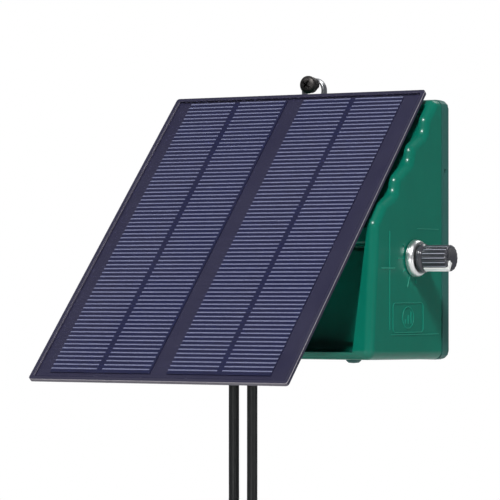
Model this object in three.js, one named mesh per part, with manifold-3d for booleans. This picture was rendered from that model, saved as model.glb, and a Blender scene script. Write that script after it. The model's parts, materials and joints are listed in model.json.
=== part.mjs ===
// Solar fence energizer: a wall-hung green casing with a tilted solar panel in front of it, a rotary
// control on its right side, and two output leads (fence and earth) that end in crocodile clips.
//
// Millimetres. +X is to the right, +Y goes into the wall, +Z is up.
// The origin is the middle of the casing's flat back, where it rests on the wall.

import * as THREE from 'three';
import { mergeVertices } from 'three/addons/utils/BufferGeometryUtils.js';
import Module from 'manifold-3d';

const wasm = await Module();
wasm.setup();

// ---------------------------------------------------------------- driving dimensions

const GAP = 0.3; // between pieces that touch

const CASE_HALF_WIDTH = 81;
const CASE_TOP = 67.2;
const CASE_BOTTOM = -66.7;
const CASE_EDGE = 4.5; // radius of the outer edges
const CASE_DRAFT = 0.025; // the sides close in by this much per millimetre towards the front
const WALL = 2.5;
const COVER_DEPTH = 8.2;
const COVER_EDGE = 3; // radius of its rear edge
const SHELL_REAR = -9.6; // the seal fills the groove between cover and shell

const CHEEK_INNER = 76.2; // half the width between the scalloped cheeks, at their top
const CHEEK_INNER_MIDDLE = 74.6;
const CHEEK_INNER_LOW = 68.4; // the same at the foot of the recess
const RECESS_TOP = -8;
const RECESS_FLOOR = -62;
const RECESS_BACK = -52;

const PANEL_X = [-75.8, 77];
const PANEL_U = [-99.7, 100]; // u is up the panel
const PANEL_CORNER = 1.4;
const PANEL_THICK = 2.1;
const PANEL_RIM = 1.9; // the board's edge, seen round the clear cover
const PANEL_TILT = THREE.MathUtils.degToRad(47.46);
const PANEL_CENTRE = new THREE.Vector3(0, -87, -1.9); // on its top face, at u = 0
const SLOPE_BELOW = 10.46; // the casing's slope, measured square to the panel from its top face
const SLOPE_TOP = 59;
const CELL_WIDTH = 60.2;
const CELL_LENGTH = 190.6;

const KNOB_Y = -37;
const KNOB_Z = -14.8;
const KNOB_BASE = 84.9;
const KNOB_LENGTH = 17.2;
const KNOB_POINTER = THREE.MathUtils.degToRad(-30);

const EYE_Z = 74.5; // centre of the hanging eye
const EYE_HOLE = 5.3;
const WALL_SCREW_SHANK = 2;

const COVER_SCREW_X = 74.6;
const COVER_SCREW_Z = [60.8, -60.2];

const LEAD_RADIUS = 2.8;
const LEAD_Y = -33;
const LEADS = {
  fence: { x: -31, coilY: -41, side: -1 },
  earth: { x: -19.6, coilY: -25, side: 1 },
};
const COIL_Z = -206;
const COIL_OUTER = 36.2; // centre line of the coil's outer turns
const COIL_INNER = 30.5;
const CLIP_TOP = -256.3;
const CLIP_PIVOT = { x: 1, z: -38 }; // from the clip's top, on its centre line

const BATTERY_DOOR = { x: [0.8, 67.6], z: [-57, -11] };
const DOOR_SCREW_X = [4.2, 64.2];
const DOOR_SCREW_Z = -34;
const TEST_LAMP = { x: -50, z: -20 };
const GROMMET = { x: -60, u: 26 }; // on the slope
const BRACKET = { width: 92, u: [4, 84] };
const BRACKET_SCREW_X = [-30, 30];
const BRACKET_SCREW_U = 44;
const DRAIN = { x: 59.4, y: -62 };
const BOARD_FRONT = -12;

// ---------------------------------------------------------------- shapes and booleans

const shift = (geometry, x, y, z) => geometry.translate(x, y, z);

function toSolid(geometry) {
  const bare = geometry.clone();
  bare.deleteAttribute('normal');
  bare.deleteAttribute('uv');
  const merged = mergeVertices(bare, 1e-4);
  const index = merged.index.array;
  const triangles = [];
  for (let i = 0; i < index.length; i += 3) {
    const [a, b, c] = [index[i], index[i + 1], index[i + 2]];
    if (a !== b && b !== c && c !== a) triangles.push(a, b, c);
  }
  return new wasm.Manifold(new wasm.Mesh({
    numProp: 3,
    vertProperties: new Float32Array(merged.attributes.position.array),
    triVerts: new Uint32Array(triangles),
  }));
}

function toGeometry(solid) {
  const mesh = solid.getMesh();
  const geometry = new THREE.BufferGeometry();
  geometry.setAttribute('position', new THREE.BufferAttribute(mesh.vertProperties, 3));
  geometry.setIndex(new THREE.BufferAttribute(mesh.triVerts, 1));
  geometry.computeVertexNormals();
  return geometry;
}

const join = (first, ...rest) =>
  toGeometry(rest.reduce((solid, geometry) => solid.add(toSolid(geometry)), toSolid(first)));

const cut = (first, ...rest) =>
  toGeometry(rest.reduce((solid, geometry) => solid.subtract(toSolid(geometry)), toSolid(first)));

const common = (first, second) => toGeometry(toSolid(first).intersect(toSolid(second)));

function block(x, y, z) {
  const box = new THREE.BoxGeometry(x[1] - x[0], y[1] - y[0], z[1] - z[0]);
  return shift(box, (x[0] + x[1]) / 2, (y[0] + y[1]) / 2, (z[0] + z[1]) / 2);
}

// An outline through corners [x, y, radius], each rounded by its own radius.
function rounded(corners, arcSteps = 3) {
  const corner = (i) => new THREE.Vector2(...corners.at(i % corners.length));
  const points = corners.flatMap(([, , radius = 0], i) => {
    const here = corner(i);
    if (radius === 0) return [here];
    const before = corner(i - 1).sub(here).normalize();
    const after = corner(i + 1).sub(here).normalize();
    const half = before.angleTo(after) / 2;
    const reach = radius / Math.tan(half);
    const inward = before.clone().add(after).normalize();
    const middle = here.clone().addScaledVector(inward, radius / Math.sin(half));
    const start = here.clone().addScaledVector(before, reach).sub(middle).angle();
    const end = here.clone().addScaledVector(after, reach).sub(middle).angle();
    const sweep = THREE.MathUtils.euclideanModulo(end - start + Math.PI, 2 * Math.PI) - Math.PI;
    return Array.from({ length: arcSteps + 1 }, (_, k) => {
      const angle = start + (sweep * k) / arcSteps;
      return new THREE.Vector2(Math.cos(angle), Math.sin(angle)).multiplyScalar(radius).add(middle);
    });
  });
  return new THREE.Shape(points);
}

const rectangle = (x, y, radius = 0) =>
  rounded([[x[0], y[0], radius], [x[1], y[0], radius], [x[1], y[1], radius], [x[0], y[1], radius]]);

const plainExtrude = (shape, depth) => new THREE.ExtrudeGeometry(shape, { depth, bevelEnabled: false });

// An outline in Y and Z, extruded along X. With an edge, both ends are rounded over inside the outline.
function extrudeX(shape, x, edge = 0) {
  const geometry = new THREE.ExtrudeGeometry(shape, {
    depth: x[1] - x[0] - 2 * edge,
    bevelEnabled: edge > 0,
    bevelThickness: edge,
    bevelSize: edge,
    bevelOffset: -edge,
    bevelSegments: 3,
  });
  const yzx = new THREE.Matrix4().makeBasis(
    new THREE.Vector3(0, 1, 0), new THREE.Vector3(0, 0, 1), new THREE.Vector3(1, 0, 0));
  return shift(geometry.applyMatrix4(yzx), x[0] + edge, 0, 0);
}

// An outline in X and Z, extruded along Y.
const extrudeY = (shape, y) => shift(plainExtrude(shape, y[1] - y[0]).rotateX(Math.PI / 2), 0, y[1], 0);

// The same with both ends rounded over inside the outline.
function roundExtrudeY(shape, y, edge) {
  const geometry = new THREE.ExtrudeGeometry(shape, {
    depth: y[1] - y[0] - 2 * edge,
    bevelThickness: edge,
    bevelSize: edge,
    bevelOffset: -edge,
    bevelSegments: 3,
  });
  return shift(geometry.rotateX(Math.PI / 2), 0, y[1] - edge, 0);
}

const extrudeZ = (shape, z) => shift(plainExtrude(shape, z[1] - z[0]), 0, 0, z[0]);

// Turns a piece made along +Y so that it points along an axis.
const POINT = {
  '+x': (geometry) => geometry.rotateZ(-Math.PI / 2),
  '+y': (geometry) => geometry,
  '-y': (geometry) => geometry.rotateX(Math.PI),
  '+z': (geometry) => geometry.rotateX(Math.PI / 2),
  '-z': (geometry) => geometry.rotateX(-Math.PI / 2),
};

// A profile of [radius, height] points turned about an axis through `at`.
function turned(profile, axis, at, segments = 16) {
  const points = profile.map(([radius, height]) => new THREE.Vector2(radius, height));
  return shift(POINT[axis](new THREE.LatheGeometry(points, segments)), ...at);
}

const rod = (radius, length, axis, at, segments = 16) =>
  turned([[0, 0], [radius, 0], [radius, length], [0, length]], axis, at, segments);

const ring = (inner, outer, length, axis, at, segments = 16) =>
  turned([[inner, 0], [outer, 0], [outer, length], [inner, length], [inner, 0]], axis, at, segments);

// A round cord swept along a curve.
function cord(points, radius, steps, sides) {
  const section = new THREE.Shape(Array.from({ length: sides }, (_, k) => {
    const angle = (2 * Math.PI * k) / sides;
    return new THREE.Vector2(radius * Math.cos(angle), radius * Math.sin(angle));
  }));
  const extrudePath = new THREE.CatmullRomCurve3(points.map((point) => new THREE.Vector3(...point)));
  return new THREE.ExtrudeGeometry(section, { steps, extrudePath });
}

// A pan-head screw: its head's underside is at `at`, and its shank points along `axis`.
function panScrew(shank, length, head, headHeight, axis, at) {
  return turned([
    [0, -headHeight], [head * 0.7, -headHeight], [head, -headHeight * 0.4], [head, 0], [shank, 0],
    [shank, length - shank], [0, length],
  ], axis, at, 10);
}

// ---------------------------------------------------------------- the assembly

const energizer = new THREE.Group();
const solarPanel = new THREE.Group();
solarPanel.position.copy(PANEL_CENTRE);
solarPanel.rotation.x = PANEL_TILT;
energizer.add(solarPanel);

function addPiece(name, geometry, finish, group = energizer) {
  const [color, roughness, metalness = 0] = finish;
  const mesh = new THREE.Mesh(geometry, new THREE.MeshStandardMaterial({ color, roughness, metalness }));
  mesh.name = name;
  group.add(mesh);
}

const GREEN = [0x0f6b58, 0.35];
const GREY_GREEN = [0x4d6a62, 0.45];
const BLACK_PLASTIC = [0x17181b, 0.5];
const BLACK_RUBBER = [0x0b0c0e, 0.6];
const STEEL = [0xa9adb0, 0.35, 1];
const BLACK_STEEL = [0x2a2a2c, 0.4, 0.8];
const CHROME = [0xd9dadb, 0.12, 1];
const CABLE = [0x0a0b0e, 0.35];

// A piece given in the panel's own frame, moved to where the panel holds it.
function fromPanel(geometry) {
  solarPanel.updateMatrix();
  return geometry.applyMatrix4(solarPanel.matrix);
}

// Y of the plane that lies `below` the panel's top face, at height z.
const slopeY = (z, below) =>
  PANEL_CENTRE.y + (z - PANEL_CENTRE.z) / Math.tan(PANEL_TILT) + below / Math.sin(PANEL_TILT);

// The sides close in towards the front.
function drafted(geometry) {
  const position = geometry.attributes.position;
  for (let i = 0; i < position.count; i += 1) {
    const scale = 1 + (CASE_DRAFT * position.getY(i)) / CASE_HALF_WIDTH;
    position.setX(i, position.getX(i) * scale);
  }
  return geometry;
}

// ---------------------------------------------------------------- casing

// The casing seen from its side: finger steps go down the front, then a leaning lower edge.
function casingOutline() {
  const riser = { y: -1.2, z: -7.7 };
  const steps = [[-24.2, 56.8], [-38.7, 41.8], [-53.2, 26]].flatMap(([y, z]) => (
    [[y, z, 5.6], [y + riser.y, z + riser.z, 5.6]]));
  return rounded([
    [10, CASE_TOP],
    [-14.5, CASE_TOP - 0.3, 5.2],
    ...steps,
    [-65.5, 12.6, 5.6],
    [-73.7, 2.9, 5.6],
    [-79.5, CASE_BOTTOM + 1, 4.8],
    [10, CASE_BOTTOM],
  ]);
}

// What is open in front, between the cheeks: the slope behind the panel and the recess below it.
function frontOpening() {
  const head = slopeY(SLOPE_TOP, SLOPE_BELOW);
  const chin = slopeY(0.5, SLOPE_BELOW);
  const side = rounded([
    [head, 80], [head, SLOPE_TOP], [chin, 0.5, 2], [chin, RECESS_TOP, 2],
    [RECESS_BACK, RECESS_TOP], [RECESS_BACK, RECESS_FLOOR], [-100, RECESS_FLOOR], [-100, 80],
  ]);
  const front = rounded([
    [-CHEEK_INNER, 80], [-CHEEK_INNER, CASE_TOP], [-CHEEK_INNER_MIDDLE, 5], [-CHEEK_INNER_LOW, RECESS_FLOOR - 4],
    [CHEEK_INNER_LOW, RECESS_FLOOR - 4], [CHEEK_INNER_MIDDLE, 5], [CHEEK_INNER, CASE_TOP], [CHEEK_INNER, 80],
  ]);
  return common(extrudeX(side, [-100, 100]), extrudeY(front, [-110, 0]));
}

function casingCavity() {
  const inner = SLOPE_BELOW + WALL;
  const chin = slopeY(0.5, inner);
  const side = rounded([
    [10, CASE_TOP - WALL], [slopeY(62, inner), CASE_TOP - WALL], [slopeY(62, inner), 62], [chin, 0.5],
    [chin, RECESS_TOP + WALL], [RECESS_BACK + WALL, RECESS_TOP + WALL],
    [RECESS_BACK + WALL, CASE_BOTTOM + WALL + 0.7], [10, CASE_BOTTOM + WALL],
  ]);
  const halfWidth = CASE_HALF_WIDTH - WALL;
  return drafted(extrudeX(side, [-halfWidth, halfWidth]));
}

const coverScrewPlaces = COVER_SCREW_Z.flatMap((z) => [[-COVER_SCREW_X, z], [COVER_SCREW_X, z]]);

function frontShell() {
  const skin = drafted(extrudeX(casingOutline(), [-CASE_HALF_WIDTH, CASE_HALF_WIDTH], CASE_EDGE));
  const behind = block([-100, 100], [SHELL_REAR, 30], [-100, 100]);
  const bosses = coverScrewPlaces.map(([x, z]) => rod(4.4, 13, '-y', [x, SHELL_REAR + 1, z], 16));
  const doorBosses = DOOR_SCREW_X.map((x) => rod(3, 8, '+y', [x, RECESS_BACK + 1, DOOR_SCREW_Z], 16));
  const hollow = cut(casingCavity(), ...bosses, ...doorBosses);
  const body = cut(skin, behind, frontOpening(), hollow);

  const screwHoles = coverScrewPlaces.map(([x, z]) => rod(1.8, 7, '-y', [x, SHELL_REAR + 1, z], 12));
  const doorHoles = DOOR_SCREW_X.map((x) => rod(1.7, 9, '+y', [x, RECESS_BACK - 1, DOOR_SCREW_Z], 12));
  const leadHoles = Object.values(LEADS).map(({ x }) => rod(4.3, 12, '+z', [x, LEAD_Y, -70], 20));
  const slopeHole = (x, u, radius) => fromPanel(rod(radius, 6, '+z', [x, u, -15], 16));
  return cut(
    body,
    ...screwHoles,
    ...doorHoles,
    ...leadHoles,
    ...BRACKET_SCREW_X.map((x) => slopeHole(x, BRACKET_SCREW_U, 1.9)),
    slopeHole(GROMMET.x, GROMMET.u, 3.4),
    rod(3.8, 14, '+x', [72, KNOB_Y, KNOB_Z]),
    rod(2.9, 6, '+y', [TEST_LAMP.x, RECESS_BACK - 2, TEST_LAMP.z]),
    rod(2.4, 8, '+z', [DRAIN.x, DRAIN.y, -69], 16),
    block([8.5, 60], [RECESS_BACK - 1, RECESS_BACK + WALL + 1], [-54.5, -13.5]),
  );
}

const EYE_PLATE = { half: 6.8, y: [-4.4, -0.4], foot: 58 };

function backCover() {
  const outline = (inset) => rectangle(
    [-CASE_HALF_WIDTH + inset, CASE_HALF_WIDTH - inset], [CASE_BOTTOM + inset, CASE_TOP - inset],
    Math.max(CASE_EDGE - inset, 2));
  const tray = cut(
    drafted(roundExtrudeY(outline(0), [-COVER_DEPTH - 2 * COVER_EDGE, 0], COVER_EDGE)),
    block([-100, 100], [-COVER_DEPTH - 20, -COVER_DEPTH], [-100, 100]),
    extrudeY(outline(2.6), [-COVER_DEPTH - 1, -WALL]));
  const posts = coverScrewPlaces.map(([x, z]) => rod(4.4, COVER_DEPTH - 1, '-y', [x, -1, z], 16));
  const boardPosts = [-64, 60].flatMap((x) => [40, -44].map((z) =>
    rod(3, -BOARD_FRONT - 1.6 - GAP - 1, '-y', [x, -1, z], 12)));
  const eyePad = block([-10.5, 10.5], [-7.4, -1], [55, CASE_TOP - 1]);
  const eyeSeat = block([-EYE_PLATE.half - GAP, EYE_PLATE.half + GAP], [EYE_PLATE.y[0] - GAP, 1],
    [EYE_PLATE.foot - GAP, CASE_TOP + 5]);
  const pryNotch = block([80, 90], [-6.6, -4.8], [29.4, 31.4]);
  return cut(
    join(tray, ...posts, ...boardPosts, eyePad),
    eyeSeat,
    pryNotch,
    ...coverScrewPlaces.map(([x, z]) => rod(1.8, 12, '-y', [x, 1, z], 12)),
    ...coverScrewPlaces.map(([x, z]) => rod(3.2, 3.4, '-y', [x, 1, z], 16)),
  );
}

// A stamped steel eye let into the cover's back. The wall screw's shank passes through it.
function hangingEye() {
  const half = EYE_PLATE.half;
  const outline = new THREE.Shape();
  outline.moveTo(-half, EYE_PLATE.foot);
  outline.lineTo(half, EYE_PLATE.foot);
  outline.absarc(0, EYE_Z, half, 0, Math.PI, false);
  outline.closePath();
  outline.holes.push(new THREE.Path().absarc(0, EYE_Z, EYE_HOLE, 0, 2 * Math.PI, true));
  return extrudeY(outline, EYE_PLATE.y);
}

function wallScrew() {
  const z = EYE_Z + EYE_HOLE - WALL_SCREW_SHANK - GAP;
  const head = turned([
    [0, 0], [WALL_SCREW_SHANK, 0], [WALL_SCREW_SHANK, 4.5], [4.3, 4.8], [4.3, 7.6], [4.7, 7.6],
    [4.7, 8.8], [4.4, 9.7], [3.6, 10.4], [2.4, 10.9], [0, 11.1],
  ], '-y', [0, -GAP, z], 20);
  const arms = [Math.PI / 5, Math.PI / 5 + Math.PI / 2].map((angle) =>
    shift(block([-2.7, 2.7], [-12.5, -9.5], [-0.6, 0.6]).rotateY(angle), 0, 0, z));
  return cut(head, ...arms);
}

function coverSeal() {
  const ringOutline = (inset) => rectangle(
    [-CASE_HALF_WIDTH + inset, CASE_HALF_WIDTH - inset], [CASE_BOTTOM + inset, CASE_TOP - inset], 3.5);
  const seal = ringOutline(0.9);
  seal.holes.push(new THREE.Path(ringOutline(2.2).getPoints()));
  return extrudeY(seal, [SHELL_REAR + GAP, -COVER_DEPTH - GAP]);
}

addPiece('front_shell', frontShell(), GREEN);
addPiece('back_cover', backCover(), GREY_GREEN);
addPiece('cover_seal', coverSeal(), BLACK_RUBBER);
addPiece('hanging_eye', hangingEye(), STEEL);
addPiece('wall_screw', wallScrew(), BLACK_STEEL);
coverScrewPlaces.forEach(([x, z], i) => {
  addPiece(`cover_screw_${i + 1}`, panScrew(1.5, 12, 2.9, 1.8, '-y', [x, -2.1, z]), STEEL);
});
addPiece('drain_plug', turned([[0, -1.6], [2.6, -1.4], [3.9, -0.3], [3.9, 0], [2.1, 0], [2.1, 5], [0, 5]],
  '+z', [DRAIN.x, DRAIN.y, CASE_BOTTOM + 0.6], 16), BLACK_RUBBER);

// ---------------------------------------------------------------- solar panel

const panelPlate = (inset = 0) => rectangle(
  [PANEL_X[0] + inset, PANEL_X[1] - inset], [PANEL_U[0] + inset, PANEL_U[1] - inset], Math.max(PANEL_CORNER - inset / 2, 0.5));

const addToPanel = (name, geometry, finish) => addPiece(name, geometry, finish, solarPanel);

addToPanel('panel_board', cut(
  extrudeZ(panelPlate(), [-PANEL_THICK, 0]), extrudeZ(panelPlate(PANEL_RIM), [-1.3, 1])), [0x23213a, 0.5]);
addToPanel('panel_cover', cut(
  extrudeZ(panelPlate(PANEL_RIM + GAP), [-1, 0]), extrudeZ(panelPlate(PANEL_RIM + GAP + 1), [-2, -0.5])),
  [0x2c2a48, 0.2]);
[-1, 1].forEach((side, i) => {
  const edges = [5, 5 + CELL_WIDTH].map((x) => x * side).sort((a, b) => a - b);
  const cell = extrudeZ(rectangle(edges, [1 - CELL_LENGTH / 2, 1 + CELL_LENGTH / 2]), [-1.05, -0.8]);
  addToPanel(`solar_cell_${i + 1}`, cell, [0x2b2c55, 0.35]);
});

// The bracket is a shallow tray between the casing's slope and the panel, with a post for each screw.
function panelBracket() {
  const half = BRACKET.width / 2;
  const tray = cut(
    extrudeZ(rectangle([-half, half], BRACKET.u, 5), [-SLOPE_BELOW + 0.4, -PANEL_THICK - GAP]),
    extrudeZ(rectangle([-half + 3, half - 3], [BRACKET.u[0] + 3, BRACKET.u[1] - 3], 3), [-8, 0]));
  const posts = BRACKET_SCREW_X.map((x) => rod(4, 5, '+z', [x, BRACKET_SCREW_U, -8.5], 16));
  const ribs = [24, 64].map((u) => block([-half + 2, half - 2], [u - 1, u + 1], [-8.5, -4]));
  const holes = BRACKET_SCREW_X.map((x) => rod(1.8, 7, '+z', [x, BRACKET_SCREW_U, -12], 12));
  return cut(join(tray, ...posts, ...ribs), ...holes);
}

addToPanel('panel_bracket', panelBracket(), BLACK_PLASTIC);
BRACKET_SCREW_X.forEach((x, i) => {
  const seat = -SLOPE_BELOW - WALL - GAP;
  addToPanel(`bracket_screw_${i + 1}`, panScrew(1.5, 7.6, 3, 1.9, '+z', [x, BRACKET_SCREW_U, seat]), STEEL);
});
addToPanel('junction_box',
  extrudeZ(rectangle([GROMMET.x - 9, GROMMET.x + 9], [50, 74], 2), [-8.1, -PANEL_THICK - GAP]), BLACK_PLASTIC);
addToPanel('cable_grommet', turned([
  [1.6, -13.4], [3.1, -13.4], [3.1, -10.1], [4.6, -10.1], [4.6, -9.4], [3, -8.9], [1.6, -8.9], [1.6, -13.4],
], '+z', [GROMMET.x, GROMMET.u, 0], 14), BLACK_RUBBER);

// The panel's cable: along the gap under the panel, round a bend, through the grommet to the board.
function panelCable() {
  const bend = 5;
  const run = [49.6, 44, 38, GROMMET.u + bend].map((u) => new THREE.Vector3(GROMMET.x, u, -5));
  const turn = [1, 2, 3, 4].map((k) => {
    const angle = (k * Math.PI) / 8;
    return new THREE.Vector3(
      GROMMET.x, GROMMET.u + bend - bend * Math.sin(angle), -5 - bend + bend * Math.cos(angle));
  });
  const outside = [...run, ...turn, new THREE.Vector3(GROMMET.x, GROMMET.u, -14)];
  solarPanel.updateMatrix();
  const placed = outside.map((point) => point.applyMatrix4(solarPanel.matrix).toArray());
  const inside = [[-60, -52, 1.5], [-60, -42, -8], [-60, -32, -15.5], [-60, -22, -19.5], [-60, -12.4, -20.4]];
  return cord([...placed, ...inside], 1.2, 30, 8);
}

addPiece('panel_cable', panelCable(), CABLE);

// ---------------------------------------------------------------- rotary control on the right side

// Built along +Z from the knob's base, then turned to point along +X.
const onKnobAxis = (geometry, x) => shift(geometry.rotateY(Math.PI / 2), x, KNOB_Y, KNOB_Z);

function knobBar(radius, width, z) {
  return block([radius[0], radius[1]], [-width / 2, width / 2], z).rotateZ(KNOB_POINTER);
}

function controlKnob() {
  const flutes = 18;
  const outline = new THREE.Shape(Array.from({ length: flutes * 4 }, (_, k) => {
    const angle = (2 * Math.PI * k) / (flutes * 4);
    const radius = k % 4 < 2 ? 6.7 : 6.25;
    return new THREE.Vector2(radius * Math.cos(angle), radius * Math.sin(angle));
  }));
  const skirt = turned([[0, 0], [7.3, 0], [7.3, 1.6], [7, 2.3], [6.2, 2.6], [0, 2.6]], '+z', [0, 0, 0], 28);
  const crown = turned([
    [0, 15], [6.5, 15], [6.5, 16.6], [6, KNOB_LENGTH], [4.6, KNOB_LENGTH], [4.2, KNOB_LENGTH - 0.3],
    [0, KNOB_LENGTH - 0.3],
  ], '+z', [0, 0, 0], 28);
  return onKnobAxis(cut(
    join(skirt, extrudeZ(outline, [2, 15.6]), crown),
    rod(3.3, 15.5, '+z', [0, 0, -1], 20),
    knobBar([6, 9], 2.5, [2.8, 20]),
    knobBar([1.8, 9], 2.5, [KNOB_LENGTH - 0.9, 20]),
  ), KNOB_BASE);
}

const knobPointer = () => onKnobAxis(join(
  knobBar([6.2, 6.95], 2.1, [3, KNOB_LENGTH]),
  knobBar([2, 6.95], 2.1, [KNOB_LENGTH - 0.7, KNOB_LENGTH]),
), KNOB_BASE);

addPiece('control_knob', controlKnob(), [0x2b262b, 0.4]);
addPiece('knob_pointer', knobPointer(), [0xf2f2f0, 0.5]);
addPiece('control_bezel', turned([
  [3.75, 0], [9.4, 0], [9.4, 0.9], [9, 1.5], [8.2, 2.6], [7.7, 3.7], [3.75, 3.7], [3.75, 0],
], '+x', [80.6, KNOB_Y, KNOB_Z], 30), CHROME);
addPiece('potentiometer', turned([
  [0, 0], [7.8, 0], [8.4, 0.8], [8.4, 8], [3.4, 8], [3.4, 15.7], [0, 15.7],
], '+x', [68.8, KNOB_Y, KNOB_Z], 20), STEEL);
addPiece('control_shaft', rod(2.95, 13.6, '+x', [84.8, KNOB_Y, KNOB_Z], 16), STEEL);

// ---------------------------------------------------------------- battery, door and test lamp

function batteryDoor() {
  const plate = extrudeY(rectangle(BATTERY_DOOR.x, BATTERY_DOOR.z, 4), [RECESS_BACK - 2.2, RECESS_BACK - GAP]);
  const holes = DOOR_SCREW_X.map((x) => rod(1.7, 4, '+y', [x, RECESS_BACK - 3, DOOR_SCREW_Z], 12));
  return cut(plate, ...holes);
}

const CELL_ROWS = [-19.3, -34, -48.7];
const CELL_Y = -41.2;

addPiece('battery_door', batteryDoor(), GREEN);
DOOR_SCREW_X.forEach((x, i) => {
  const at = [x, RECESS_BACK - 2.5, DOOR_SCREW_Z];
  addPiece(`door_screw_${i + 1}`, panScrew(1.4, 9.5, 2.8, 1.7, '+y', at), STEEL);
});
addPiece('battery_holder', cut(
  block([7.6, 60.9], [-48.9, -33.2], [-57, -11.2]), block([8.8, 59.7], [-50, -34], [-56, -12.2])), BLACK_PLASTIC);
CELL_ROWS.forEach((z, i) => {
  const cell = turned([[0, 0], [6.6, 0], [7, 0.6], [7, 48.2], [6.4, 48.8], [2.7, 48.8], [2.7, 49.9], [0, 49.9]],
    '+x', [9.2, CELL_Y, z], 16);
  addPiece(`battery_cell_${i + 1}`, cell, [0x2f7d4f, 0.35]);
});
addPiece('test_lamp', turned([
  [0, -2.6], [1.5, -2.2], [2.3, -1.2], [2.5, 0], [2.5, 3.9], [3.4, 3.9], [3.4, 5], [0, 5],
], '+y', [TEST_LAMP.x, RECESS_BACK - 1, TEST_LAMP.z], 16), [0xb3261e, 0.15]);

// ---------------------------------------------------------------- electronics

function transformerCore() {
  const windows = [-1, 1].map((side) => block([side * 8 - 3.5, side * 8 + 3.5], [-9, 9], [-10, 10]));
  return shift(cut(block([-17, 17], [-7, 7], [-15, 15]), ...windows), -50, -23.5, 6);
}

function transformerWinding() {
  const turns = rectangle([-11.1, 11.1], [-10.6, 10.6], 3);
  turns.holes.push(new THREE.Path(rectangle([-4.9, 4.9], [-7.4, 7.4]).getPoints()));
  return shift(extrudeZ(turns, [-9.6, 9.6]), -50, -23.5, 6);
}

function controlChip() {
  const legs = [-1, 1].flatMap((side) => [-3.8, -1.3, 1.3, 3.8].map((x) =>
    block([x - 0.3, x + 0.3], [-14.2, BOARD_FRONT - GAP], side > 0 ? [3, 4] : [-4, -3])));
  return shift(join(block([-5, 5], [-16, -13], [-3.2, 3.2]), ...legs), 16, 0, -8);
}

function terminalBlock() {
  const holes = Object.values(LEADS).map(({ x }) => rod(2, 6, '+z', [x + 1, -18, -49], 12));
  return cut(block([-36, -14], [-23, BOARD_FRONT - GAP], [-48, -38]), ...holes);
}

addPiece('circuit_board', block([-70, 66], [BOARD_FRONT, BOARD_FRONT + 1.6], [-50, 46]), [0x1d5a34, 0.5]);
addPiece('transformer_core', transformerCore(), [0x4a4d50, 0.6, 0.6]);
addPiece('transformer_winding', transformerWinding(), [0xb5793a, 0.45, 0.3]);
addPiece('storage_capacitor', turned([[0, 0], [8.4, 0], [9, 0.8], [9, 33.2], [8.4, 34], [0, 34]],
  '+x', [2, BOARD_FRONT - GAP - 9, 24], 20), [0x1f3f78, 0.35]);
addPiece('thyristor', join(
  block([-12, -2], [-16.8, -12.4], [-24, -15]), block([-12, -2], [-13.6, -12.4], [-16, -9])), [0x303133, 0.5]);
addPiece('control_chip', controlChip(), BLACK_PLASTIC);
addPiece('terminal_block', terminalBlock(), [0x2c6f3f, 0.5]);

// ---------------------------------------------------------------- output leads

// A tapered strain relief below the casing, with a threaded neck that a nut holds inside.
const leadGland = (x) => turned([
  [3.1, 0], [3.9, 0], [4.9, 8.4], [5.3, 9.2], [5.3, 10.6], [4, 10.6], [4, 20], [3.1, 20], [3.1, 0],
], '+z', [x, LEAD_Y, -77.4], 20);

const glandNut = (x) => cut(
  rod(5.4, 4, '+z', [x, LEAD_Y, -63.2], 6), rod(4.3, 6, '+z', [x, LEAD_Y, -64.2], 20));

// The lead hangs straight, then swings out to meet the coil on a tangent.
function leadRoute({ x, coilY, side }) {
  const bendTop = -142;
  const eighth = Math.PI / 4;
  const meet = { x: COIL_OUTER * Math.sin(eighth), z: COIL_Z + COIL_OUTER * Math.cos(eighth) };
  const drop = bendTop - meet.z;
  const bend = (drop - meet.x) / (Math.SQRT2 - 1);
  const strandY = coilY + side * -COIL_STRAND;
  const straight = [-56, -64, -76, -92, -110, -128].map((z) => [x, LEAD_Y, z]);
  const swing = [0, 0.2, 0.4, 0.6, 0.8, 1].map((t) => {
    const ease = (t * t * (3 - 2 * t)) * 0.55;
    const angle = t * eighth;
    return [x + side * bend * (1 - Math.cos(angle)), LEAD_Y + (strandY - LEAD_Y) * ease,
      bendTop - bend * Math.sin(angle)];
  });
  return [...straight, ...swing];
}

const COIL_STRAND = 2.85; // half the spacing of two turns side by side
const COIL_CLEAR = 21.8; // the free lead stops this far from the coil's tangent point

function coilSolid({ x, coilY }) {
  const inner = COIL_INNER - LEAD_RADIUS - GAP;
  const outer = COIL_OUTER + LEAD_RADIUS + GAP;
  const half = COIL_STRAND + LEAD_RADIUS + 0.15;
  const corner = 2.4;
  return turned([
    [inner, -half + corner], [inner + corner, -half], [outer - corner, -half], [outer, -half + corner],
    [outer, half - corner], [outer - corner, half], [inner + corner, half], [inner, half - corner],
    [inner, -half + corner],
  ], '+y', [x, coilY, COIL_Z], 28);
}

function leadTail({ x, coilY, side }) {
  const tailX = x + side * COIL_OUTER;
  const tailY = coilY + side * COIL_STRAND;
  const top = COIL_Z - COIL_CLEAR;
  const bottom = CLIP_TOP - 9;
  const heights = [0, 0.25, 0.5, 0.75, 1].map((t) => top + (bottom - top) * t);
  return cord(heights.map((z) => [tailX, tailY, z]), LEAD_RADIUS, 4, 10);
}

Object.entries(LEADS).forEach(([name, lead]) => {
  addPiece(`${name}_gland`, leadGland(lead.x), BLACK_RUBBER);
  addPiece(`${name}_gland_nut`, glandNut(lead.x), BLACK_PLASTIC);
  addPiece(`${name}_lead`, cord(leadRoute(lead), LEAD_RADIUS, 18, 10), CABLE);
  addPiece(`${name}_lead_coil`, coilSolid(lead), CABLE);
  addPiece(`${name}_lead_tail`, leadTail(lead), CABLE);
});

// ---------------------------------------------------------------- crocodile clips

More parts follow.
